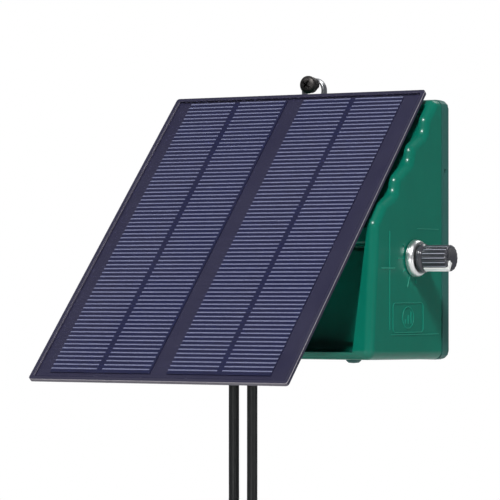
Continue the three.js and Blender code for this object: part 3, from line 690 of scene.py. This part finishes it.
CASE_HALF_WIDTH = 81
CASE_TOP = 67.2
CASE_BOTTOM = -66.7
CASE_EDGE = 4.5
CASE_DRAFT = 0.025  # the sides close in by this much per millimetre towards the front
SHELL_REAR = -9.6
WALL = 2.5
CHEEK_INNER = 76.2  # half the width between the cheeks, at their top
CHEEK_INNER_MIDDLE = 74.6
CHEEK_INNER_LOW = 68.4
RECESS_TOP = -8
RECESS_FLOOR = -62
RECESS_BACK = -52
PANEL_X = (-75.8, 77)
PANEL_U = (-99.7, 100)  # u is up the panel
PANEL_CORNER = 1.4
PANEL_RIM = 1.9  # the board's edge, seen round the clear cover
SLOPE_BELOW = 10.46  # the casing's slope, square to the panel from its top face
SLOPE_TOP = 59
SLOPE_FOOT = 0.5
STEPS = ((-24.2, 56.8), (-38.7, 41.8), (-53.2, 26))  # the crest of each finger step, from its side
STEP_RISER = (-1.2, -7.7)  # from a crest down to the next tread
STEP_ROUND = 5.6
CONTROL_HOLE = 3.8
TEST_LAMP = (-50, -20)
LAMP_HOLE = 2.9
DRAIN = (59.4, -62)
DRAIN_HOLE = 2.4
LEAD_HOLE = 4.3
DOOR_OPENING = {"x": (8.5, 60), "z": (-54.5, -13.5)}
FAR = 100  # past the casing on any side
OVERHEAD = 80

PANEL = Matrix.Translation(PANEL_CENTRE) @ Matrix.Rotation(PANEL_TILT, 4, "X")


def slope_y(z, below):
    """Y of the plane that lies `below` the panel's top face, at height z."""
    return PANEL_CENTRE.y + (z - PANEL_CENTRE.z) / math.tan(PANEL_TILT) + below / math.sin(PANEL_TILT)


def draft(bm):
    """The sides close in towards the front."""
    for vert in bm.verts:
        vert.co.x *= 1 + CASE_DRAFT * vert.co.y / CASE_HALF_WIDTH


def casing_outline():
    """The casing from its side: three finger steps down the front, then a leaning lower edge."""
    corners = [(10, CASE_TOP), (-14.5, CASE_TOP - 0.3, 5.2)]
    for y, z in STEPS:
        corners += [(y, z, STEP_ROUND), (y + STEP_RISER[0], z + STEP_RISER[1], STEP_ROUND)]
    corners += [(-65.5, 12.6, STEP_ROUND), (-73.7, 2.9, STEP_ROUND)]
    corners += [(-79.5, CASE_BOTTOM + 1, 4.8), (10, CASE_BOTTOM)]
    return rounded(corners, 10)


def shell_skin(bm):
    slab(bm, casing_outline(), (-CASE_HALF_WIDTH, CASE_HALF_WIDTH), "x", CASE_EDGE, 8)
    draft(bm)


def opening_side(bm):
    """What the panel's slope and the recess take away, from the side."""
    head = slope_y(SLOPE_TOP, SLOPE_BELOW)
    chin = slope_y(SLOPE_FOOT, SLOPE_BELOW)
    slab(bm, rounded([
        (head, OVERHEAD), (head, SLOPE_TOP), (chin, SLOPE_FOOT, 2), (chin, RECESS_TOP, 2),
        (RECESS_BACK, RECESS_TOP, 1.5), (RECESS_BACK, RECESS_FLOOR, 1.5), (-FAR, RECESS_FLOOR),
        (-FAR, OVERHEAD)]), (-FAR, FAR), "x")


def opening_front(bm):
    """The room between the cheeks, from the front."""
    right = [(CHEEK_INNER_LOW, RECESS_FLOOR - 4), (CHEEK_INNER_MIDDLE, 5), (CHEEK_INNER, CASE_TOP),
             (CHEEK_INNER, OVERHEAD)]
    left = [(-x, z) for x, z in reversed(right)]
    slab(bm, [Vector(p) for p in left + right], (-110, 0), "y")


def cavity(bm):
    """The inside, one wall in from the skin, the slope and the recess."""
    chin = slope_y(SLOPE_FOOT, SLOPE_BELOW + WALL)
    head = slope_y(62, SLOPE_BELOW + WALL)
    back = RECESS_BACK + WALL
    half = CASE_HALF_WIDTH - WALL
    slab(bm, [Vector(p) for p in (
        (10, CASE_TOP - WALL), (head, CASE_TOP - WALL), (head, 62), (chin, SLOPE_FOOT),
        (chin, RECESS_TOP + WALL), (back, RECESS_TOP + WALL), (back, CASE_BOTTOM + WALL + 0.7),
        (10, CASE_BOTTOM + WALL))], (-half, half), "x")
    draft(bm)


def rod(radius, length, axis, at, segments=32):
    """A function that fills a bmesh with a plain round bar, for holes."""
    return lambda bm: lathe(bm, [(radius, 0), (radius, length)], axis, at, segments)


def front_shell():
    skin = solid(shell_skin)
    opening = combine(solid(opening_side), [solid(opening_front)], "INTERSECT")
    cuts = [
        solid(lambda bm: box_mesh(bm, (-FAR, FAR), (SHELL_REAR, 30), (-FAR, FAR))),
        opening,
        solid(cavity),
        solid(rod(CONTROL_HOLE, 14, "x", (72, KNOB_Y, KNOB_Z))),
        solid(rod(LAMP_HOLE, 6, "y", (TEST_LAMP[0], RECESS_BACK - 2, TEST_LAMP[1]))),
        solid(rod(DRAIN_HOLE, 8, "z", (*DRAIN, CASE_BOTTOM - 2.3))),
        solid(lambda bm: box_mesh(
            bm, DOOR_OPENING["x"], (RECESS_BACK - 1, RECESS_BACK + WALL + 1), DOOR_OPENING["z"])),
    ]
    cuts += [solid(rod(LEAD_HOLE, 12, "z", (facts["x"], LEAD_Y, -70))) for facts in LEAD_FACTS.values()]
    shell = combine(skin, cuts, "DIFFERENCE")
    piece = add_mesh("shell_front", take_mesh(shell), "casing_green", replaces=["front_shell"], smooth=30)
    bevel_edges(piece, 0.7, 3, 50)


front_shell()

# ---------------- raised marks on the right side

MARK_HEIGHT = 0.3
MARK_WIDTH = 0.55
FRAME_LINES = (  # start and end as (y, z), width, height
    ((-60.6, -1.3), (-60.6, -50.9), MARK_WIDTH, MARK_HEIGHT),
    ((-59.4, -53.4), (-12.3, -53.4), MARK_WIDTH, MARK_HEIGHT),
    ((-34, 0.2), (-12.3, 0.2), 0.45, 0.2),
    ((-69, -19.9), (-55.6, -19.9), 0.8, 0.4),
)
SCALE_TICKS = 11
SCALE_LAST_BUT_ONE = 246  # degrees from +Y towards +Z
SCALE_START = 10.2  # from the control's axis
SCALE_ENDS = (13, 16.2)  # of the short and the long ticks
SCALE_GAP = (45, 135)  # the scale's open top, without ticks
SIGN_FRAME = {"y": (-57.5, -28), "z": (-52.3, -37.4)}
SIGN_CENTRE = (-42.8, -44.8)
SIGN_RADIUS = 5.4
BAR_FIRST = (-45.6, -48)
BAR_SPACING = 2.8
BAR_HEIGHTS = (2.4, 4.4, 6.4)


def on_side(y, z, out=0.0):
    """A place on the casing's right side, or that far out from it."""
    return Vector((CASE_HALF_WIDTH + CASE_DRAFT * y + out, y, z))


def raised_line(bm, start, end, width=MARK_WIDTH, height=MARK_HEIGHT):
    """A raised rib with a rounded top, between two (y, z) places on the side."""
    a, b = Vector(start), Vector(end)
    along = (b - a).normalized()
    across = Vector((-along.y, along.x)) * (width / 2)
    section = [(1, -0.1), (1, 0.5), (0.6, 1), (-0.6, 1), (-1, 0.5), (-1, -0.1)]
    rings = []
    for at, shrink in ((a, 0.3), (a + along * width * 0.3, 1), (b - along * width * 0.3, 1), (b, 0.3)):
        ring = []
        for side, up in section:
            place = at + across * side * shrink
            lift = up * height * (shrink if up > 0 else 1)
            ring.append(on_side(place.x, place.y, lift))
        rings.append(ring)
    loft(bm, rings)


def raised_loop(bm, places, width=MARK_WIDTH, height=MARK_HEIGHT):
    """A raised rib that follows a closed outline on the side."""
    places = counter_clockwise(places)
    inner = inset(places, width / 2)
    outer = inset(places, -width / 2)
    rings = []
    top = inset(places, -width * 0.3), inset(places, width * 0.3)
    for outline, up in ((outer, -0.1), (outer, 0.5), (top[0], 1), (top[1], 1), (inner, 0.5), (inner, -0.1)):
        rings.append([on_side(p.x, p.y, up * height) for p in outline])
    loft(bm, rings, closed=True)


def circle(centre, radius, count=32):
    return [Vector((centre[0] + radius * math.cos(a), centre[1] + radius * math.sin(a)))
            for a in round_angles(count)]


def side_marks():
    """Frame lines, the control's scale, and a framed sign of three bars in a ring."""
    bm = bmesh.new()
    for line in FRAME_LINES:
        raised_line(bm, *line)
    add_mesh("side_frame_lines", bm, "lit_mark_green")

    bm = bmesh.new()
    knob = Vector((KNOB_Y, KNOB_Z))
    for k in range(SCALE_TICKS):
        degrees = SCALE_LAST_BUT_ONE + 360 / SCALE_TICKS * (k - SCALE_TICKS + 2)
        if SCALE_GAP[0] < degrees % 360 < SCALE_GAP[1]:
            continue
        angle = math.radians(degrees)
        ray = Vector((math.cos(angle), math.sin(angle)))
        raised_line(bm, knob + ray * SCALE_START, knob + ray * SCALE_ENDS[k % 2], 0.5, MARK_HEIGHT)
    add_mesh("control_scale", bm, "lit_mark_green")

    bm = bmesh.new()
    raised_loop(bm, rectangle(SIGN_FRAME["y"], SIGN_FRAME["z"], 2.4))
    raised_loop(bm, circle(SIGN_CENTRE, SIGN_RADIUS), 0.5)
    for k, height in enumerate(BAR_HEIGHTS):
        y, z = BAR_FIRST[0] + BAR_SPACING * k, BAR_FIRST[1]
        raised_line(bm, (y, z), (y, z + height), 0.9, MARK_HEIGHT)
    add_mesh("side_symbols", bm, "lit_mark_green")


side_marks()

# ---------------- solar panel

FINGER_PITCH = 2.72
FINGER_WIDTH = 0.8
FINGER_FIRST = 96
FINGER_LAST = -93
FINGER_COLUMNS = ((-65.6, -37.8), (-34.5, -6.3), (4.9, 33.5), (36.6, 65.1))
CELL_TOP = -0.8
LIP_TOP = -0.03  # under the clear cover's face
LIP_WIDTH = 0.36


def panel_fingers():
    """Silver lines printed across the cells, four columns of them, in a mesh for each cell string."""
    rows = int((FINGER_FIRST - FINGER_LAST) / FINGER_PITCH) + 1
    depth = (CELL_TOP - 0.02, CELL_TOP + 0.03)
    for name, columns in (("cell_1_fingers", FINGER_COLUMNS[:2]), ("cell_2_fingers", FINGER_COLUMNS[2:])):
        bm = bmesh.new()
        for low, high in columns:
            for k in range(rows):
                u = FINGER_FIRST - FINGER_PITCH * k
                box_mesh(bm, (low, high), (u - FINGER_WIDTH / 2, u + FINGER_WIDTH / 2), depth)
        bm.transform(PANEL)
        add_mesh(name, bm, "finger_silver")


def panel_rect(depth):
    """The panel's outline, moved in by that much."""
    return counter_clockwise(rectangle(
        (PANEL_X[0] + depth, PANEL_X[1] - depth), (PANEL_U[0] + depth, PANEL_U[1] - depth),
        max(PANEL_CORNER - depth / 2, 0.5), 4))


def resin_lip():
    """The rounded lip of the resin, which fills the gap between the clear cover and the board's edge."""
    section = (  # distance in from the lip's outside, and height
        (0, -0.9), (0, -0.12), (0.08, LIP_TOP), (0.28, LIP_TOP), (LIP_WIDTH, -0.12), (LIP_WIDTH, -0.9))
    bm = bmesh.new()
    rings = [[Vector((p.x, p.y, w)) for p in panel_rect(PANEL_RIM - 0.03 + d)] for d, w in section]
    loft(bm, rings, closed=True)
    bm.transform(PANEL)
    add_mesh("panel_resin_lip", bm, "resin_edge")


panel_fingers()
resin_lip()

# ---------------- rotary control

FLUTE_DEPTH = 0.5
POINTER_ANGLE = math.radians(-30)
POINTER_HALF = 1.45  # half its width
POINTER_END = 2.2  # how near it comes to the middle of the knob's end
BEZEL_FOOT = 80.6
BEZEL_RADIUS = 9.4


def on_control(x):
    """A place on the control's axis."""
    return Vector((x, KNOB_Y, KNOB_Z))


def control_knob():
    """A fluted push-on knob: a skirt, eighteen soft flutes and a dished end."""
    profile = [
        (3, 0), (6.9, 0), (7.3, 0.3), (7.3, 1.5), (7.15, 1.9), (6.6, 2.25), (6.45, 2.6), (6.45, FLUTES_START),
        (6.5, 4.4), (6.5, 14.6), (6.5, 15.8), (6.42, 16.5), (6.1, 17), (5.6, KNOB_LENGTH), (5.1, 17.1),
        (4.8, 16.85)]

    def fluted(angle, radius, height):
        if height < FLUTES_START or radius < 5.5:
            return radius
        rise = min(1, (height - FLUTES_START) / FLUTES_FADE)
        fall = min(1, (KNOB_LENGTH + 0.5 - height) / FLUTES_FADE)
        return radius + FLUTE_DEPTH * rise * fall * (1.2 * abs(math.cos(KNOB_FLUTES * angle / 2)) - 0.7)

    bm = bmesh.new()
    lathe(bm, profile, "x", on_control(KNOB_BASE), KNOB_FLUTES * 12, fluted)
    add_mesh("knob_body", bm, "knob_black", "knob", replaces=["control_knob"], smooth=40)


def knob_pointer():
    """A white inlay: along the flutes, round the rim and in towards the middle of the end."""
    end = KNOB_LENGTH
    section = [Vector(p) for p in (
        (6.95, FLUTES_START), (6.95, end - 0.7), (6.7, end - 0.2), (6.2, end), (POINTER_END, end),
        (POINTER_END, end - 0.5), (5.8, end - 0.6), (6.1, end - 1.4), (6.1, FLUTES_START))]
    bm = bmesh.new()
    slab(bm, section, (-POINTER_HALF, POINTER_HALF), "z", 0.12, 2)
    turn = Matrix.Translation(on_control(KNOB_BASE)) @ Matrix.Rotation(math.pi / 2, 4, "Y")
    swap_yz = Matrix(((1, 0, 0, 0), (0, 0, 1, 0), (0, 1, 0, 0), (0, 0, 0, 1)))
    bm.transform(turn @ Matrix.Rotation(POINTER_ANGLE, 4, "Z") @ swap_yz)
    add_mesh("knob_pointer_inlay", bm, "pointer_white", "knob", replaces=["knob_pointer"])


def control_bezel():
    """A chrome ring with a quarter-round outer edge and a dished middle."""
    arc = [math.pi / 2 * k / 8 for k in range(1, 9)]
    profile = [(3.75, 0), (BEZEL_RADIUS, 0), (BEZEL_RADIUS, 0.8)]
    profile += [(BEZEL_RADIUS - 1.75 * (1 - math.cos(a)), 0.8 + 2.9 * math.sin(a)) for a in arc]
    profile += [(7.2, 3.7), (6.9, 3.4), (3.75, 3.4)]
    bm = bmesh.new()
    lathe(bm, profile, "x", on_control(BEZEL_FOOT), 96, closed=True)
    add_mesh("bezel_ring", bm, "chrome", replaces=["control_bezel"])


control_knob()
knob_pointer()
control_bezel()

# ---------------- hanging eye and wall screw

EYE_Z = 74.5
EYE_HOLE = 5.3
EYE_HALF = 6.8
EYE_Y = (-4.4, -0.4)
EYE_FOOT = 58
SCREW_SHANK = 2
SCREW_NECK = 4.3
SCREW_HEAD = 4.7
SCREW_DOME = 2.3
SCREW_END_Y = -0.3
SCREW_Z = EYE_Z + EYE_HOLE - SCREW_SHANK - 0.3
RECESS_TURNS = (math.pi / 5, math.pi / 5 + math.pi / 2)


def hanging_eye():
    """A stamped steel eye with rolled rims."""
    top = [Vector((EYE_HALF * math.cos(a), EYE_Z + EYE_HALF * math.sin(a))) for a in
           (math.pi * k / 32 for k in range(33))]
    plate = [Vector((-EYE_HALF, EYE_FOOT)), Vector((EYE_HALF, EYE_FOOT))] + top
    eye = solid(lambda bm: slab(bm, plate, EYE_Y, "y", 0.45, 3))
    hole = [(EYE_HOLE + out, height) for out, height in (
        (0.5, -0.2), (0.15, 0.15), (0, 0.5), (0, 3.5), (0.15, 3.85), (0.5, 4.2))]
    combine(eye, [solid(lambda bm: lathe(bm, hole, "y", (0, EYE_Y[0], EYE_Z), 64))], "DIFFERENCE")
    add_mesh("eye_plate", take_mesh(eye), "steel", replaces=["hanging_eye"])


def wall_screw():
    """A black pan-head screw with a tapered cross recess. Its profile's heights run forwards from its end."""
    dome = [(SCREW_HEAD * math.cos(a), 8.8 + SCREW_DOME * math.sin(a)) for a in
            (math.pi / 2 * k / 8 for k in range(8))]
    profile = [(SCREW_SHANK - 0.3, 0), (SCREW_SHANK, 0.3), (SCREW_SHANK, 4.5), (4, 4.8), (SCREW_NECK, 5.1),
               (SCREW_NECK, 7.6), (4.4, 7.6), (SCREW_HEAD, 7.9), *dome, (0.2, 11.1)]
    forwards = [(r, -h) for r, h in profile]
    screw = solid(lambda bm: lathe(bm, forwards, "y", (0, SCREW_END_Y, SCREW_Z), 64))

    def recess_arm(angle):
        def build(bm):
            wide = rectangle((-2.9, 2.9), (-0.66, 0.66), 0.3, 3)
            deep = rectangle((-1.5, 1.5), (-0.4, 0.4), 0.2, 3)
            loft(bm, [[Vector((p.x, y, p.y)) for p in outline] for outline, y in ((wide, -12), (deep, -8.8))])
            bm.transform(Matrix.Translation((0, 0, SCREW_Z)) @ Matrix.Rotation(angle, 4, "Y"))
        return build

    combine(screw, [solid(recess_arm(angle)) for angle in RECESS_TURNS], "DIFFERENCE")
    add_mesh("screw_wall", take_mesh(screw), "black_steel", replaces=["wall_screw"])


hanging_eye()
wall_screw()

# ---------------- glands, ties and clips

TIE_ANGLES = (135, 225, 320)
TIE_WIDTH = 3
TIE_THICK = 0.85
TIE_SLACK = 0.06
TIE_SIDES = 48
GLAND_RIBS = 5
GLAND_THREADS = 6
GLAND_PITCH = 1.5  # of the ribs, and of the thread above them
BOOT_RADIUS = 4.75
BOOT_GROOVE = 4.6
BOOTS = {"fence": "boot_red", "earth": "boot_black"}
CLIP_PARTS = ("jaw", "lever", "pin", "spring")
on_leads = {name: [f"{name}_clip_{part}" for part in CLIP_PARTS] for name in LEAD_FACTS}


def lead_gland(name, x):
    """A ribbed, tapered strain relief with a threaded neck up into the casing."""
    profile = [(3.1, 0), (3.6, 0), (3.85, 0.3)]
    for k in range(GLAND_RIBS):
        low = 0.7 + GLAND_PITCH * k
        wide = 3.9 + 0.21 * k
        profile += [(wide, low), (wide + 0.05, low + 0.75), (wide - 0.6, low + 0.95),
                    (wide - 0.58, low + 1.35)]
    profile += [(4.9, 8.4), (5.3, 9), (5.3, 10.35), (5.05, 10.6), (4, 10.6)]
    for k in range(GLAND_THREADS):
        profile += [(3.65, 11 + GLAND_PITCH * k), (4, 11.75 + GLAND_PITCH * k)]
    profile += [(3.9, 20), (3.1, 20)]
    bm = bmesh.new()
    lathe(bm, profile, "z", (x, LEAD_Y, GLAND_END_Z), closed=True)
    add_mesh(f"{name}_strain_relief", bm, "rubber", replaces=[f"{name}_gland"], smooth=40)


def coil_strands(degrees):
    """Where the coil's turns pass at that angle, as (radius, offset along Y) on the coil."""
    turned = (degrees - COIL_START) % 360
    strands = []
    while turned <= COIL_TURNED:
        radius, strand = coil_turn(turned)
        strands.append(Vector((radius, strand * COIL_STRAND)))
        turned += 360
    return strands


def coil_tie(name, number, x, coil_y, side):
    """A cable tie drawn tight round the coil's turns, with its head on the outside."""
    degrees = TIE_ANGLES[number]
    angle = math.radians(degrees)
    out = Vector((side * math.sin(angle), 0, math.cos(angle)))
    along = Vector((side * math.cos(angle), 0, -math.sin(angle)))
    across = Vector((0, side, 0))
    centre = Vector((x, coil_y, COIL_Z))
    strands = coil_strands(degrees)
    near = LEAD_RADIUS + TIE_SLACK
    far = near + TIE_THICK
    half = TIE_WIDTH / 2
    ways = [Vector((math.cos(a), math.sin(a))) for a in round_angles(TIE_SIDES)]
    bm = bmesh.new()
    rings = []
    for radius, shift in ((near, -half), (far - 0.15, -half), (far, -half + 0.2), (far, half - 0.2),
                          (far - 0.15, half), (near, half)):
        places = [max(strands, key=lambda strand: strand.dot(way)) + way * radius for way in ways]
        rings.append([centre + out * p.x + across * p.y + along * shift for p in places])
    loft(bm, rings, closed=True)
    outermost = max(strands, key=lambda strand: strand.x)
    low = outermost.x + LEAD_RADIUS + 0.5
    head = rectangle((-2.1, 2.1), (-2.4, 2.4), 0.6, 3)
    loft(bm, [[centre + out * (low + up) + across * (outermost.y + p.x) + along * p.y
               for p in inset(head, shrink)] for up, shrink in ((0, 0), (2.2, 0), (2.6, 0.35))])
    piece = f"{name}_coil_tie_{number + 1}"
    add_mesh(piece, bm, "black_plastic")
    on_leads[name].append(piece)


def clip_boots(name, x, coil_y, side):
    """A soft sleeve on the clip's barrel and a grip on its lever: red for the fence, black for the earth."""
    place = Vector((x + side * COIL_OUTER, coil_y + side * COIL_STRAND, CLIP_TOP_Z))
    profile = [(2.86, 7.6), (3.2, 7.8), (3.5, 7.4), (3.6, 6), (4.1, 3.4), (BOOT_GROOVE, 1.4),
               (BOOT_RADIUS, 0.2)]
    for groove in (-1, -3):
        profile += [(BOOT_RADIUS, groove + 0.2), (BOOT_GROOVE, groove), (BOOT_GROOVE, groove - 0.6),
                    (BOOT_RADIUS, groove - 0.8)]
    profile += [(BOOT_RADIUS, -5.2), (BOOT_GROOVE, -5.7), (4.36, -5.8), (4.36, 0.15), (2.86, 0.15)]
    bm = bmesh.new()
    lathe(bm, profile, "z", place, 40, closed=True)
    sleeve = f"{name}_clip_sleeve"
    add_mesh(sleeve, bm, BOOTS[name], smooth=40)

    outline = rounded([
        (17.2, -1.5, 0.9), (15.1, -1.6, 0.3), (9.75, -19.2, 0.4), (12.9, -21.4, 0.9), (18.1, -3.6, 1.6)], 5)
    bm = bmesh.new()
    slab(bm, outline, (-3.5, 3.5), "y", 0.7, 4)
    bm.transform(Matrix.Translation(place))
    grip = f"{name}_clip_grip"
    add_mesh(grip, bm, BOOTS[name], body=f"{name}_lever")
    on_leads[name] += [sleeve, grip]


for lead_name, facts in LEAD_FACTS.items():
    lead_gland(lead_name, facts["x"])
    for tie in range(len(TIE_ANGLES)):
        coil_tie(lead_name, tie, **facts)
    clip_boots(lead_name, **facts)

# ---------------- the cords' cable material

for lead_name, facts in LEAD_FACTS.items():
    lead = leads[lead_name]
    lead["piece"].data.materials.append(MATERIALS["cable"])

# ---------------- floor, light and finish

FLOOR_Z = -345
FLOOR_HALF = 30000
FLOOR_THICK = 20
FLOOR_GREY = 0.8
FLOOR_FADE = (0.8, 2.4)  # between these distances, in metres, the floor turns into the white background
ROOM_TINT = (0.9, 0.93, 1.0)
ROOM_STRENGTH = 0.17
LIT_PLACE = (0, -0.08, 0)
LIGHTS = {  # place and side in metres, watts
    "key": ((0.93, -1.54, 1.67), 0.3, 54),
    "front": ((0.4, -1.75, -0.5), 0.5, 13),
    "left": ((-1.3, -1.4, 1.5), 0.6, 8),
    "side": ((1.6, -0.3, -0.3), 0.5, 2),
    "back": ((0.2, 1.4, 1.5), 0.8, 8),
}


def make_stage():
    """A pale grey floor, which fades to the white background where the camera sees it far away."""
    bm = bmesh.new()
    box_mesh(bm, (-FLOOR_HALF, FLOOR_HALF), (-FLOOR_HALF, FLOOR_HALF), (FLOOR_Z - FLOOR_THICK, FLOOR_Z))
    bmesh.ops.scale(bm, vec=(MM, MM, MM), verts=bm.verts)
    floor = mesh_object("floor", bm)
    material, tree, shader = new_material("floor_paper")
    shader.inputs["Base Color"].default_value = rgb([FLOOR_GREY] * 3)
    shader.inputs["Roughness"].default_value = 0.9
    shader.inputs["Specular IOR Level"].default_value = 0.1
    away = put(tree, "ShaderNodeVectorMath", {0: object_place(tree)}, operation="LENGTH").outputs["Value"]
    far = put(tree, "ShaderNodeMapRange", {
        "Value": away, "From Min": FLOOR_FADE[0], "From Max": FLOOR_FADE[1]}, interpolation_type="SMOOTHSTEP")
    seen = put(tree, "ShaderNodeLightPath").outputs["Is Camera Ray"]
    share = maths(tree, "MULTIPLY", far.outputs[0], seen)
    white = put(tree, "ShaderNodeEmission", {"Color": rgb((1, 1, 1)), "Strength": 1.0})
    mix = put(tree, "ShaderNodeMixShader", {0: share, 1: shader.outputs[0], 2: white.outputs[0]})
    tree.links.new(mix.outputs[0], tree.nodes["Material Output"].inputs["Surface"])
    floor.data.materials.append(material)


def area_light(name, place, side, watts):
    """A square lamp that faces the object."""
    data = bpy.data.lights.new(name, "AREA")
    data.size = side
    data.energy = watts
    lamp = place_in_scene(name, data)
    lamp.location = Vector(place)
    lamp.rotation_euler = (Vector(LIT_PLACE) - lamp.location).to_track_quat("-Z", "Y").to_euler()


def make_light():
    """A white background to the camera, a dim cool room to everything else, and the lamps."""
    world = bpy.data.worlds.new("studio")
    bpy.context.scene.world = world
    world.use_nodes = True
    tree = world.node_tree
    backdrop = tree.nodes["Background"]
    backdrop.inputs["Color"].default_value = rgb((1, 1, 1))
    backdrop.inputs["Strength"].default_value = 1.0
    room = put(tree, "ShaderNodeBackground", {"Color": rgb(ROOM_TINT), "Strength": ROOM_STRENGTH})
    seen = put(tree, "ShaderNodeLightPath").outputs["Is Camera Ray"]
    mix = put(tree, "ShaderNodeMixShader", {0: seen, 1: room.outputs[0], 2: backdrop.outputs[0]})
    tree.links.new(mix.outputs[0], tree.nodes["World Output"].inputs["Surface"])
    for name, (place, side, watts) in LIGHTS.items():
        area_light(name, place, side, watts)
    bpy.context.scene.view_settings.view_transform = "Standard"


make_stage()
make_light()
